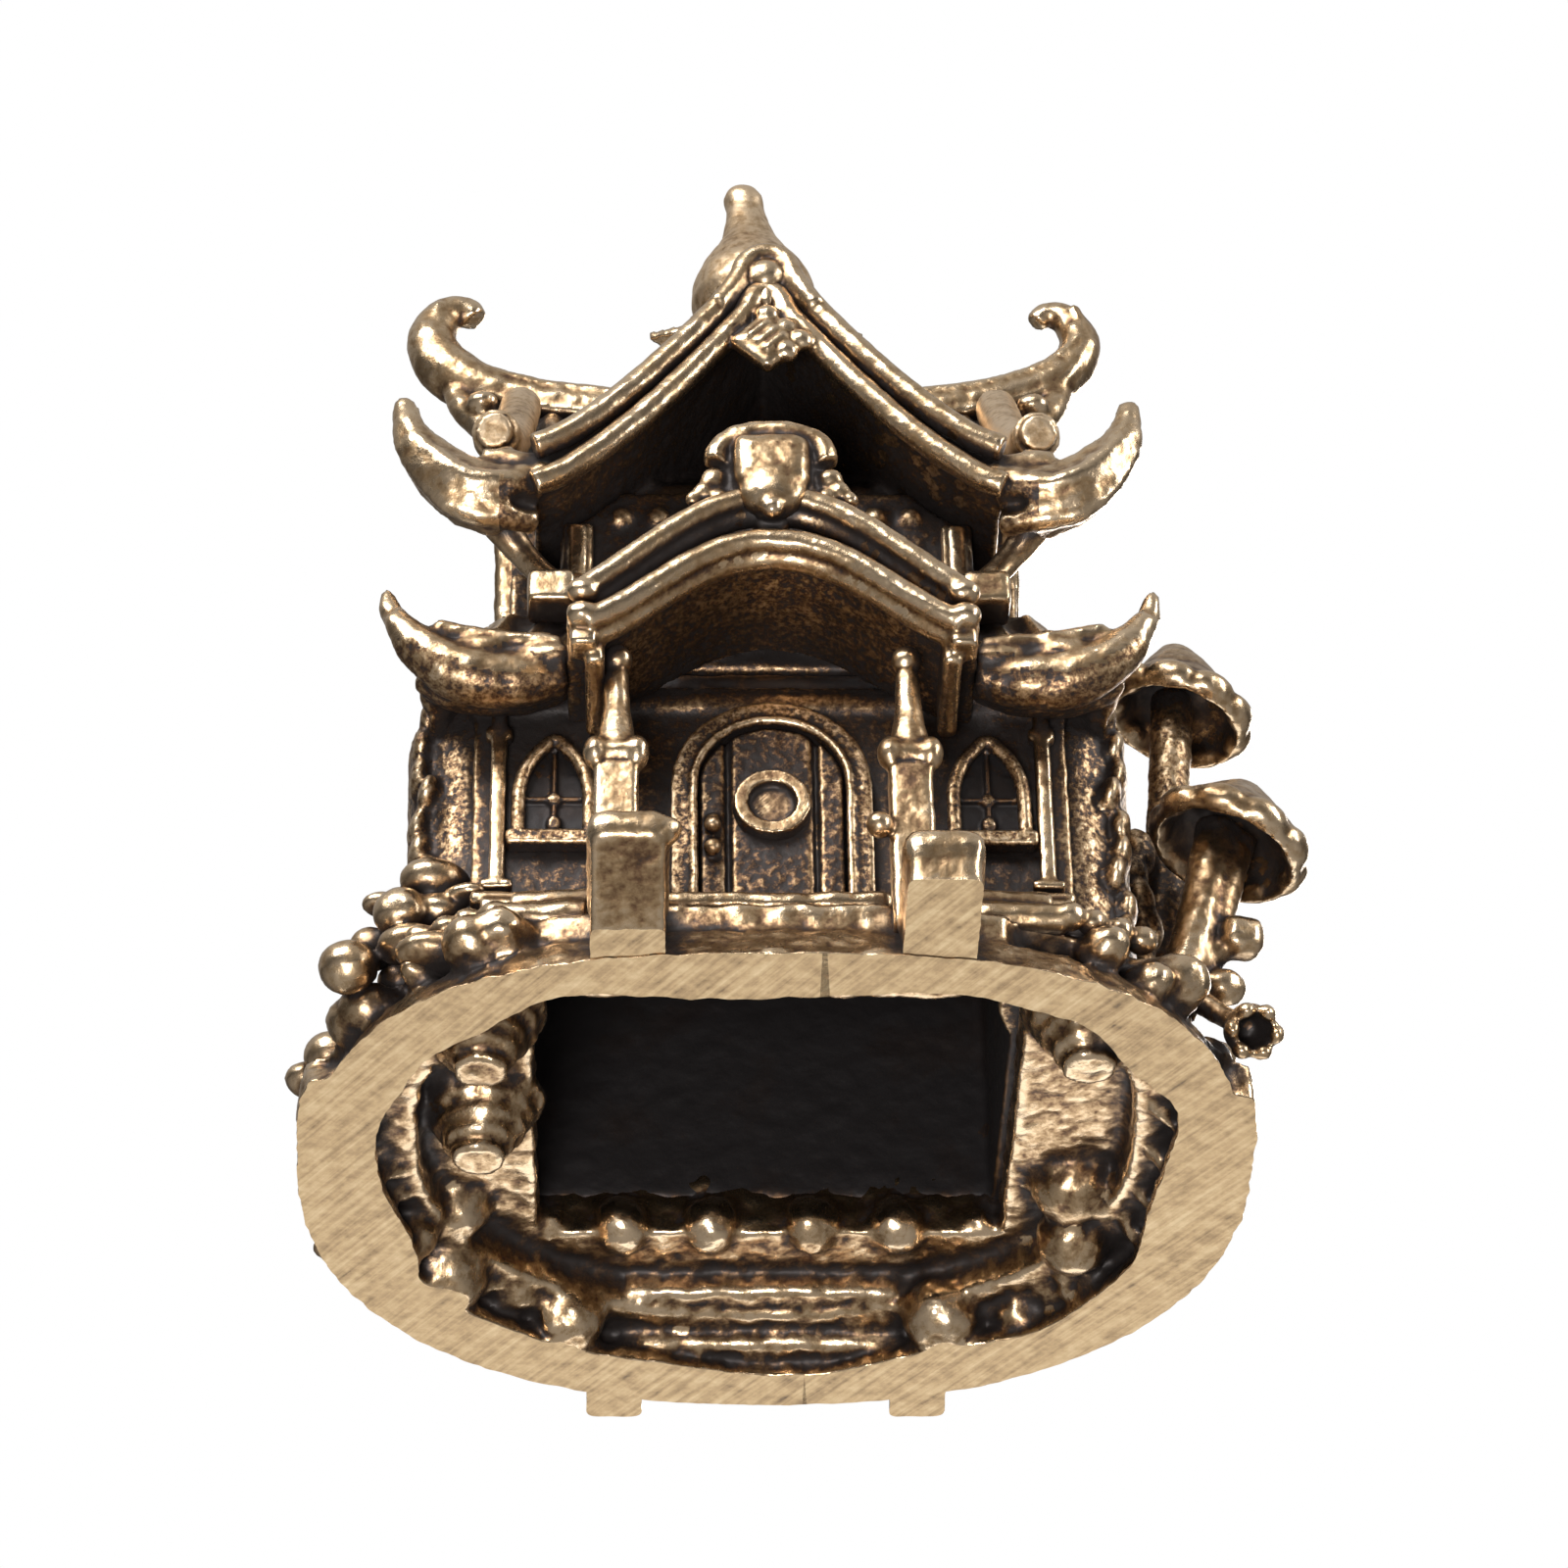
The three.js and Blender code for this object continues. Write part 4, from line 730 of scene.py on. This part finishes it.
vault = bmesh.new()
cad_shape(vault, "porch_roof")
for i in range(9):
    x = PORCH_HALF * (i / 4 - 1) * 0.92
    roll(vault, [(x, PORCH_LOW.y + 0.2, porch_top(x) + 0.1), (x, PORCH_HIGH.y - 0.1, porch_top(x) + 0.1)],
        0.42)
finished("porch_vault", cast(vault, voxel=0.15, soften=4, grain=0.12), ("porch_roof",), SANDY,
    slot="darkened_brass")
RAKE_Y = PORCH_LOW.y - 0.45
steps = [PORCH_HALF * (i / 8 - 1) * 0.91 for i in range(17)]
for word, rise, arched in (("upper", -0.1, 1.3), ("lower", -1.5, 0.65)):
    rake = bmesh.new()
    lifted = [(x, porch_top(x) + rise + arched * (1 - (x / PORCH_HALF) ** 4)) for x in steps]
    roll(rake, [(x, RAKE_Y, z) for x, z in lifted], 0.46)
    roll(rake, [(x, RAKE_Y + 0.4, z + 0.42) for x, z in lifted], 0.26)
    roll(rake, [(x, RAKE_Y + 0.6, z - 0.3) for x, z in lifted], 0.5)
    if word == "lower":
        for sign in (-1, 1):
            slab(rake, (sign * 6.9 - 0.5, RAKE_Y + 0.05, PORCH_LOW.z - 1.0),
                (sign * 6.9 + 0.5, RAKE_Y + 1.3, PORCH_LOW.z + 0.6), ease=0.2)
            slab(rake, (sign * 6.5 - 0.35, RAKE_Y + 0.6, PORCH_LOW.z - 1.4),
                (sign * 6.5 + 0.35, RAKE_Y + 5.4, PORCH_LOW.z + 0.5), ease=0.2)
            lump(rake, (sign * 6.95, RAKE_Y - 0.1, PORCH_LOW.z + 0.15), (0.6, 0.5, 0.5))
    else:
        for sign in (-1, 1):
            lump(rake, (sign * 6.95, RAKE_Y - 0.05, porch_top(7.0) + 0.1), (0.62, 0.5, 0.5))
            slab(rake, (sign * 8.2 - 0.9, -12.2, 18.4), (sign * 8.2 + 0.9, -10.4, 19.9), ease=0.25)
    finished("porch_roll_" + word, cast(rake, voxel=0.11, grain=0.06), ("porch_rake_" + word,), RUBBED)
crest_high = span("porch_ridge")[1]
boss_z = crest_high.z - 1.85
crest = bmesh.new()
roll(crest, [(0, PORCH_LOW.y, porch_top(0) + 0.6), (0, PORCH_HIGH.y - 0.3, porch_top(0) + 0.6)], 0.7)
slab(crest, (-1.45, RAKE_Y - 0.9, boss_z - 1.2), (1.45, RAKE_Y + 0.9, boss_z + 1.3), ease=0.6)
lump(crest, (0, RAKE_Y - 0.2, boss_z - 1.1), (1.3, 0.85, 1.3))
roll(crest, [(-2.1, RAKE_Y, boss_z + 0.3), (-1.85, RAKE_Y, boss_z + 1.05),
    (-1.0, RAKE_Y - 0.1, boss_z + 1.55), (0, RAKE_Y - 0.1, boss_z + 1.7),
    (1.0, RAKE_Y - 0.1, boss_z + 1.55), (1.85, RAKE_Y, boss_z + 1.05), (2.1, RAKE_Y, boss_z + 0.3)], 0.48)
slab(crest, (-1.9, RAKE_Y - 0.1, boss_z - 1.8), (1.9, RAKE_Y + 0.9, boss_z + 1.3), ease=0.6)
for sign in (-1, 1):
    for dx, dz, size in ((2.15, -0.45, 0.5), (2.5, -1.0, 0.4), (2.0, -1.3, 0.42), (2.9, -1.35, 0.32)):
        lump(crest, (sign * dx, RAKE_Y + 0.1, boss_z + dz), (size, size * 0.9, size))
lump(crest, (0, RAKE_Y - 0.5, boss_z - 2.25), (0.42, 0.45, 0.42))
finished("porch_crest", cast(crest, voxel=0.11, soften=5, grain=0.14, grain_size=0.9), ("porch_ridge",),
    RUBBED)

# ---- Lower roof ----
# A skirt roof between the storeys with upswept horns at its corners, tile rolls down its slope
# and lozenge tile ends along its edge. Cast; the underside is rough and darker brown as painted shade.
EAVE_X, EAVE_Y = 12.7, 13.7
INNER_X, INNER_Y = 10.05, 9.85
LOWER_TOP = WALL_TOP + 3.6


def lower_roof_height(share, along):
    """Height of the skirt: share goes from the wall, 0, to the eave, 1, and along from corner to corner."""
    return LOWER_TOP - 4.6 * (1 - (1 - share) ** 1.7) + 1.0 * share ** 2 * abs(along) ** 3


def horn(bm, start, side_x, side_y, reach, rise, root, tip, flutes=0):
    """An upswept corner horn: one tapering bar, or several side by side as flutes."""
    route = [(-0.22, -0.12, 0.03), (0, 0, 0), (0.37, 0.1, 0.01), (0.7, 0.18, 0.27), (0.92, 0.22, 0.6),
        (0.98, 0.22, 1.0)]
    taper = [root, root, root * 0.92, root * 0.72, root * 0.47, tip]
    path = [Vector((side_x * (start[0] + reach * u), side_y * (start[1] + reach * v), start[2] + rise * w))
        for u, v, w in route]
    roll(bm, path, [width * (0.66 if flutes else 1) for width in taper])
    for k in range(flutes):
        swing = math.radians(-72 + 144 * k / (flutes - 1))
        drawn = []
        for i, (place, width) in enumerate(zip(path, taper)):
            ahead = (path[min(i + 1, len(path) - 1)] - path[max(i - 1, 0)]).normalized()
            front = Vector((0, side_y, 0))
            front = (front - ahead * front.dot(ahead)).normalized()
            under = ahead.cross(front)
            drawn.append(place + (front * math.cos(swing) + under * math.sin(swing)) * width * 0.74)
        roll(bm, drawn, [width * 0.33 for width in taper])


skirt = bmesh.new()
cad_shape(skirt, "lower_roof")
for sign_x in (-1, 1):
    for sign_y in (-1, 1):
        horn(skirt, (EAVE_X - 0.9, EAVE_Y - 0.9, 15.3), sign_x, sign_y, 2.5, 2.4, 0.85, 0.28)
        # the deep boat-shaped underside of the corner
        keel = [(7.6, 12.9, 14.2), (9.4, 13.0, 13.9), (11.3, 13.2, 14.0), (12.9, 13.5, 14.9),
            (14.0, 13.6, 16.4)]
        roll(skirt, [(sign_x * x, sign_y * y, z) for x, y, z in keel], [0.75, 1.05, 1.1, 0.85, 0.45])
        lump(skirt, (sign_x * 10.2, sign_y * 12.0, 14.5), (3.0, 1.6, 1.0))
for sign in (-1, 1):
    for i in range(-7, 8):
        along = i / 7.4
        # near_a, a: half the length at the wall and at the eave; near_b, b: how far out they lie
        for near_a, a, near_b, b, turned_side in ((INNER_X, EAVE_X, INNER_Y, EAVE_Y, False),
                (INNER_Y, EAVE_Y, INNER_X, EAVE_X, True)):
            if not turned_side and sign < 0 and abs(along * EAVE_X) < 8.2:
                continue
            places = []
            for share in (0.06, 0.35, 0.65, 0.97):
                across = near_a + (a - near_a) * share
                out = near_b + (b - near_b) * share
                z = lower_roof_height(share, along) + 0.12
                x, y = along * across, sign * out
                places.append(Vector((x, y, z)) if not turned_side else Vector((y, x, z)))
            roll(skirt, places, [0.3, 0.34, 0.36, 0.4], sides=3)
# lozenges along the eave's face, and a bead over them
for sign in (-1, 1):
    for k in range(-4, 5):
        along = k * 2.55 + (0.6 if k > 0 else -0.6 if k < 0 else 0)
        if sign > 0 or abs(along) > 7.6:
            lump(skirt, (along, sign * (EAVE_Y + 0.05), lower_roof_height(1, along / EAVE_X) - 0.45),
                (0.95, 0.3, 0.38))
        lump(skirt, (sign * (EAVE_X + 0.05), along, lower_roof_height(1, along / EAVE_Y) - 0.45),
            (0.3, 0.95, 0.38))
    for reach in ((-12.4, -7.8), (7.8, 12.4)) if sign < 0 else ((-12.4, 12.4),):
        spots = [reach[0] + (reach[1] - reach[0]) * i / 8 for i in range(9)]
        roll(skirt, [(x, sign * (EAVE_Y - 0.05), lower_roof_height(1, x / EAVE_X) + 0.12) for x in spots],
            0.3)
    spots = [-13.2 + 26.4 * i / 14 for i in range(15)]
    roll(skirt, [(sign * (EAVE_X - 0.05), y, lower_roof_height(1, y / EAVE_Y) + 0.12) for y in spots], 0.3)
skirt_roof = finished("skirt_roof", cast(skirt, voxel=0.17, grain=0.14), ("lower_roof",), RUBBED, SHADED)
# painted shade: faces turned down under the eaves take the darker shaded brass
for polygon in skirt_roof.data.polygons:
    if polygon.normal.z < -0.25 and polygon.center.z / MM < 15:
        polygon.material_index = 1


# ---- Upper storey ----
# Cross-shaped walls with pilasters on the front bay, curved brackets that spring from their
# feet to the roof's horns, and polished fluted posts in the set-back corners.
upper = bmesh.new()
cad_shape(upper, "upper_wall")
for sign in (-1, 1):
    slab(upper, (-7.9, sign * 9.8 - 0.2, LOWER_TOP + 0.2), (7.9, sign * 9.8 + 0.2, LOWER_TOP + 1.1),
        ease=0.15)
    slab(upper, (sign * 10.0 - 0.2, -4.6, LOWER_TOP + 0.2), (sign * 10.0 + 0.2, 4.6, LOWER_TOP + 1.1),
        ease=0.15)
    for i in range(6):
        lump(upper, (sign * 10.0, -3.4 + i * 1.36, 22.3), (0.4, 0.5, 0.5))
    for i in range(9):
        lump(upper, (-5.6 + i * 1.4, sign * 9.8, 24.2), (0.45, 0.35, 0.45))
# painted shade: the walls take the darker shaded brass under the upper roof
finished("upper_walls", cast(upper, voxel=0.17, soften=4, grain=0.12), ("upper_wall",), SHADED,
    slot="darkened_brass")
for side, word in ((-1, "left"), (1, "right")):
    low, high = span("upper_pilaster_" + word)
    inner = low.x if side > 0 else high.x
    x = inner + side * 0.65
    front = low.y + 0.6
    strip = bmesh.new()
    slab(strip, (x - 0.6, front, low.z), (x + 0.6, high.y + 0.2, high.z), ease=0.15)
    slab(strip, (x - 0.35, front - 0.25, low.z + 0.9), (x + 0.35, front + 0.3, high.z - 0.2), ease=0.15)
    slab(strip, (x - 0.95, low.y, low.z), (x + 0.95, high.y, low.z + 1.0), ease=0.2)
    slab(strip, (inner - side * 1.5 - 0.7, low.y + 0.1, low.z - 0.1),
        (inner - side * 1.5 + 0.7, high.y, low.z + 0.75), ease=0.2)
    roll(strip, [(x, front + 0.2, low.z + 0.6), (x + side * 1.1, front + 0.2, low.z + 1.3),
        (x + side * 2.1, front + 0.1, low.z + 2.4), (x + side * 3.0, front - 0.5, low.z + 3.5)],
        [0.5, 0.5, 0.55, 0.75])
    finished("bay_pilaster_" + word, cast(strip, voxel=0.1, grain=0.06), ("upper_pilaster_" + word,),
        RUBBED)
CORNERS = [("front_left", -1, -1), ("front_right", 1, -1), ("rear_left", -1, 1), ("rear_right", 1, 1)]
for corner, sign_x, sign_y in CORNERS:
    low, high = span("corner_post_" + corner)
    x, y = (low.x + high.x) / 2, (low.y + high.y) / 2
    post = bmesh.new()
    turned(post, (x, y, 0), [(0, low.z), (0.66, low.z), (0.66, low.z + 0.5), (0.5, low.z + 0.7),
        (0.5, high.z - 0.7), (0.66, high.z - 0.5), (0.66, high.z), (0, high.z)])
    for swing, place in circle(8, 0.45):
        roll(post, [place + Vector((x, y, z)) for z in (low.z + 0.5, high.z - 0.5)], 0.15, sides=3)
    finished("fluted_post_" + corner, cast(post, voxel=0.09, soften=2, grain=0.03),
        ("corner_post_" + corner,), RUBBED)

# ---- Upper roof ----
# A concave saddle roof crossed by a gable front and back. Tile rolls run down the slopes, the
# corners end in tall fluted horns, and the gables' edges carry double bright rolls.
ROOF_X, ROOF_Y = 10.9, 13.4
ROOF_EAVE, ROOF_THICK = 23.1, 1.1
GABLE_HALF, GABLE_RISE = 8.9, 9.6


def roof_top(x, y):
    """Height of the saddle roof's top."""
    out, along = min(1, abs(y) / ROOF_Y), min(1, abs(x) / ROOF_X)
    return ROOF_EAVE + ROOF_THICK + 13.4 * (1 - out) ** 1.6 + 0.6 * along ** 3 * out ** 2


def gable_top(x):
    """Height of the gables' top."""
    return ROOF_EAVE + ROOF_THICK + GABLE_RISE * (1 - min(1, abs(x) / GABLE_HALF)) ** 1.35


roof = bmesh.new()
cad_shape(roof, "upper_roof")
for sign_x in (-1, 1):
    for sign_y in (-1, 1):
        horn(roof, (ROOF_X - 0.9, ROOF_Y - 0.9, 22.8), sign_x, sign_y, 3.9, 4.15, 1.5, 0.38, flutes=3)
        for k in range(5):
            lump(roof, (sign_x * (8.6 + 0.75 * k), sign_y * (ROOF_Y + 0.1), 23.3 - 0.12 * k),
                (0.5, 0.45, 0.55))
for i in range(-7, 8):
    x = i * 1.42
    for sign in (-1, 1):
        places = []
        for step in range(16):
            y = sign * ROOF_Y * (0.03 + 0.063 * step)
            saddle, gable = roof_top(x, y), gable_top(x)
            if saddle >= gable:
                places.append(Vector((x, y, saddle + 0.1)))
        if len(places) > 1:
            roll(roof, places, 0.36, sides=3)
gable_run = [0.3 + 0.68 * i for i in range(13)]
for sign in (-1, 1):
    for k in range(6):
        y = sign * (ROOF_Y - 0.9 - 1.25 * k)
        for side in (-1, 1):
            places = [Vector((side * x, y, gable_top(x) + 0.08))
                for x in gable_run if gable_top(x) >= roof_top(x, y)]
            if len(places) > 1:
                roll(roof, places, 0.34, sides=3)
saddle_roof = finished("saddle_roof", cast(roof, voxel=0.18, grain=0.14), ("upper_roof",), RUBBED, SHADED)
# painted shade: faces turned down under the roof take the darker shaded brass
for polygon in saddle_roof.data.polygons:
    at = polygon.center / MM - TOWER
    if polygon.normal.z < -0.2 and abs(at.x) < 10.2:
        polygon.material_index = 1

GABLE_Y = ROOF_Y + 0.5
gable_steps = [GABLE_HALF * (i / 10 - 1) for i in range(21)]
for end, sign in (("front", -1), ("rear", 1)):
    for word, rise in (("upper", 0.12), ("lower", -1.68)):
        rake = bmesh.new()
        roll(rake, [(x, sign * GABLE_Y, gable_top(x) + rise) for x in gable_steps], 0.52)
        roll(rake, [(x, sign * (GABLE_Y - 0.3), gable_top(x) + rise + 0.5) for x in gable_steps], 0.3)
        if word == "upper":
            # the rolls meet in a loop over a heart-shaped boss
            hoop = [(-1.9, gable_top(1.9) + 0.1), (-1.15, gable_top(1.15) + 0.35),
                (-0.6, gable_top(0) - 0.1), (0, gable_top(0) + 0.12), (0.6, gable_top(0) - 0.1),
                (1.15, gable_top(1.15) + 0.35), (1.9, gable_top(1.9) + 0.1)]
            roll(rake, [(x, sign * (GABLE_Y + 0.25), z) for x, z in hoop], 0.42)
            lump(rake, (0, sign * (GABLE_Y + 0.2), gable_top(0) - 1.0), (0.72, 0.6, 0.75))
            lump(rake, (0, sign * (GABLE_Y + 0.1), gable_top(0) - 1.8), (0.4, 0.4, 0.9))
        else:
            pendant = bmesh.new()
            for size, depth in ((2.1, 0.75), (1.5, 1.0)):
                slab(pendant, (-size / 2, -depth / 2, -size / 2), (size / 2, depth / 2, size / 2),
                    ease=0.28)
            for dx, dz in ((0.9, 0.9), (-0.9, 0.9), (0.9, 0.1), (0.1, 0.9)):
                lump(pendant, (dx, -0.15, dz), (0.5, 0.4, 0.45))
            for k in range(3):
                slab(pendant, (-0.6 + 0.45 * k, -0.6, -0.55), (-0.4 + 0.45 * k, 0, 0.55), ease=0.08)
            hung = Matrix.Translation((0, sign * (GABLE_Y + 0.3), gable_top(0) - 4.5))
            moved(pendant, hung @ Matrix.Diagonal((1, -sign, 1, 1)) @ Matrix.Rotation(math.pi / 4, 4, "Y"))
            bmesh.ops.recalc_face_normals(pendant, faces=pendant.faces)
            add(rake, pendant)
        finished(f"{end}_gable_roll_{word}", cast(rake, voxel=0.11, grain=0.07),
            (f"{end}_gable_rake_{word}",), RUBBED)

# ---- Ridge and hip rolls ----
# A thick ridge whose ends curl up and inwards, the left one stouter, and round hip rolls down to
# the corners, each with a stack of rings at its foot. The hips are pale and dull, wiped not polished.
RIDGE_REACH, RIDGE_LOW = 13.7, roof_top(0, 0) + 0.95 + 0.15
ridge = bmesh.new()
for side, stout in ((-1, 1.15), (1, 0.95)):
    run = [(0.0, -1.3), (0.25, -1.25), (0.5, -0.95), (0.75, -0.25), (0.92, 0.95)]
    path = [Vector((side * RIDGE_REACH * u, 0, RIDGE_LOW + w)) for u, w in run]
    curl = [(-0.1, 2.6), (-0.35, 3.9), (-0.95, 4.5), (-1.6, 4.45), (-1.85, 4.05)]
    path += [Vector((side * (RIDGE_REACH + du), 0, RIDGE_LOW + w)) for du, w in curl]
    radii = [0.95, 0.95, 0.95, 1.0, 1.05, 0.95, 0.78, 0.62, 0.55, 0.46]
    roll(ridge, path, [r * (stout if i > 3 else 1.0) for i, r in enumerate(radii)])
    for lift in (-0.62, 0.62):
        shifted = [place + Vector((0, -0.62, lift * r)) for place, r in zip(path[:7], radii)]
        roll(ridge, shifted, 0.3)
    # the bracket under the ridge's overhanging end
    roll(ridge, [(side * 12.7, -0.2, RIDGE_LOW + 0.2), (side * 12.1, -0.5, RIDGE_LOW - 1.3),
        (side * 11.2, -0.7, RIDGE_LOW - 2.4)], [0.5, 0.62, 0.7])
    lump(ridge, (side * 11.4, -1.3, RIDGE_LOW - 1.6), (0.7, 0.6, 0.5))
finished("ridge_roll", cast(ridge, voxel=0.13, soften=4, grain=0.1), ("main_ridge",), RUBBED)
WIPED = antique_brass("antique_brass_wiped", rub=0.92, sand=0.20, shine=0.40, shelter=3)
for corner, sign_x, sign_y in CORNERS:
    path = []
    for u in (0.14, 0.3, 0.45, 0.6, 0.75, 0.86):
        x, y = sign_x * (GABLE_HALF + 0.75 + 0.9 * u), sign_y * ROOF_Y * u
        path.append(Vector((x, y, roof_top(x, y) + 1.75)))
    hip = bmesh.new()
    roll(hip, path, 0.86)
    foot, along = path[-1], (path[-1] - path[-2]).normalized()
    for k, reach in enumerate((0.98, 0.84, 0.95, 0.72)):
        at = foot + along * (k * 0.5 - 0.9)
        roll(hip, [at - along * 0.16, at + along * 0.16], reach)
    finished("hip_roll_" + corner, cast(hip, voxel=0.12, grain=0.06), ("hip_" + corner,), WIPED)

# ---- Finial ----
# A gourd on a four-cornered lotus seat over the middle of the ridge: the plate's thin corners
# turn up, petals stand round the seat, and the gourd leans a little to the left.
low, high = span("lotus_seat")
seat = bmesh.new()
# the neck that stands on the ridge
turned(seat, (0, 0, 0), [(0, low.z - 2.6), (1.6, low.z - 2.6), (1.25, low.z - 0.7), (1.6, low.z + 0.4),
    (0, low.z + 0.5)])
turned(seat, (0, 0, 0), [(0, low.z), (1.5, low.z), (2.0, low.z + 0.6), (2.9, low.z + 1.5),
    (3.2, high.z - 0.35), (0, high.z - 0.35)])
plate = bmesh.new()
bmesh.ops.create_grid(plate, x_segments=24, y_segments=24, size=4.45 * math.sqrt(0.5) * 1.02)
for vert in plate.verts:
    x, y = vert.co.x, vert.co.y
    corner = abs(x * y) / 10.2
    pinch = 1 - 0.22 * (1 - corner) * max(abs(x), abs(y)) / 3.2
    vert.co = Vector((x * pinch, y * pinch, high.z - 0.75 + 0.75 * corner ** 1.3))
moved(plate, Matrix.Rotation(math.pi / 4, 4, "Z"))
thick = bmesh.ops.extrude_face_region(plate, geom=plate.faces[:])
bmesh.ops.translate(plate, verts=[g for g in thick["geom"] if isinstance(g, bmesh.types.BMVert)],
    vec=(0, 0, -0.42))
bmesh.ops.recalc_face_normals(plate, faces=plate.faces)
add(seat, plate)
for swing, place in circle(12, 2.3, low.z + 1.2):
    lump(seat, place, (0.62, 0.62, 0.85), spin=swing, tilt=0.5)
finished("lotus_plate", cast(seat, voxel=0.12, soften=2, grain=0.06), ("lotus_seat",), RUBBED)
low, high = span("gourd_finial")
tall = high.z - low.z
gourd = bmesh.new()
turned(gourd, (-0.05, 0, 0), [(0, 0), (1.7, 0), (2.35, 0.06 * tall), (2.68, 0.16 * tall),
    (2.62, 0.28 * tall), (2.2, 0.40 * tall), (1.65, 0.51 * tall), (1.22, 0.62 * tall), (0.95, 0.74 * tall),
    (0.82, 0.84 * tall), (0.86, 0.92 * tall), (0.62, 0.98 * tall), (0, tall)], steps=48)
for vert in gourd.verts:
    vert.co.x -= 0.5 * (vert.co.z / tall) ** 2
moved(gourd, Matrix.Translation((0, 0, low.z)))
finished("gourd", cast(gourd, voxel=0.13, soften=4, grain=0.12, grain_size=1.2), ("gourd_finial",), WIPED)

# ---- Mushrooms ----
# Two tall mushrooms beside the right wall: conical caps with a thick notched rim, hollow and
# black underneath, on stout sandy stems, with a lobed stalk and a flower cup.
CAPS = [
    # name, middle of the rim, tilt to the right, height, how far the top bends to the left
    ("tall", Vector((16.5, -0.3, 21.5)), 0.30, 3.6, 1.3),
    ("short", Vector((17.4, -4.85, 12.0)), 0.38, 3.2, 0.3),
]
for name, middle, tilt, tall, bend in CAPS:
    low, high = span("mushroom_cap_" + name)
    reach = (high.y - low.y) / 2 * 0.95
    cap = bmesh.new()
    # from the deep hollow round the thick lip and up the outside to the tip
    turned(cap, (0, 0, 0), [(0, 1.7), (reach * 0.4, 1.6), (reach * 0.7, 1.0), (reach * 0.84, 0.2),
        (reach * 0.92, -0.25), (reach * 1.02, 0.0), (reach * 1.04, 0.55), (reach * 0.92, 1.05),
        (reach * 0.74, 1.6), (reach * 0.5, 0.72 * tall), (reach * 0.27, 0.93 * tall), (0, tall)], steps=48)
    for k in range(9):
        swing = math.tau * k / 9 + 0.3
        lump(cap, (reach * 0.93 * math.cos(swing), reach * 0.93 * math.sin(swing), 0.45), (0.5, 0.98, 0.62),
            spin=swing)
    for vert in cap.verts:
        vert.co.x -= bend * (max(0, vert.co.z - 0.8) / tall) ** 1.5
    moved(cap, Matrix.Translation(middle) @ Matrix.Rotation(tilt, 4, "Y"))
    finished("mushroom_hat_" + name, cast(cap, voxel=0.12, grain=0.08), ("mushroom_cap_" + name,), RUBBED)
    stem = bmesh.new()
    if name == "short":
        roll(stem, [middle + Vector((-0.2, 0, 1.2)), (16.1, -5.1, 8.4), (14.9, -5.3, 4.4)],
            [0.85, 0.85, 0.95])
        roll(stem, [middle + Vector((0.5, 0.2, 0.8)), (16.9, -4.9, 9.0), (15.9, -4.8, 5.0)],
            [0.75, 0.7, 0.6])
        # a squared pebble on a stub, beside the stem
        slab(stem, (16.85, -6.1, 6.9), (18.5, -4.6, 8.5), ease=0.55, spin=0.3)
        roll(stem, [(17.4, -5.2, 7.6), (15.9, -5.2, 6.6)], 0.5)
        lump(stem, (16.9, -5.0, 5.7), (0.9, 0.8, 0.7))
        # the flower cup beside the rim: six short petals round a black mouth
        flower = bmesh.new()
        turned(flower, (0, 0, 0), [(0, 0.5), (0.4, 0.4), (0.66, -0.7), (0.9, -0.8), (1.0, -0.2),
            (0.75, 0.6), (0, 1.0)])
        for swing, place in circle(6, 0.84, -0.8):
            lump(flower, place, (0.3, 0.36, 0.42), spin=swing)
        mouth = Vector((0.15, -0.75, -0.6))
        moved(flower, Matrix.Translation((17.3, -7.9, 1.95))
            @ mouth.to_track_quat("-Z", "Y").to_matrix().to_4x4())
        add(stem, flower)
        roll(stem, [(17.3, -7.4, 2.4), (16.6, -6.6, 3.4), (15.6, -5.8, 4.8)], [0.45, 0.4, 0.5])
    else:
        roll(stem, [middle + Vector((-0.1, 0, 1.2)), (15.6, -0.8, 14.0), (14.6, -0.9, 4.4)],
            [0.85, 0.85, 0.95])
        for k in range(8):
            lump(stem, (14.2 + 0.25 * math.sin(k * 1.9), -2.4 + 0.2 * math.sin(k), 5.0 + k * 1.25),
                (0.75, 0.7, 1.1), spin=k)
    finished("mushroom_stalk_" + name, cast(stem, voxel=0.13, soften=4, grain=0.12),
        ("mushroom_stem_" + name,), PROUD if name == "short" else SANDY)
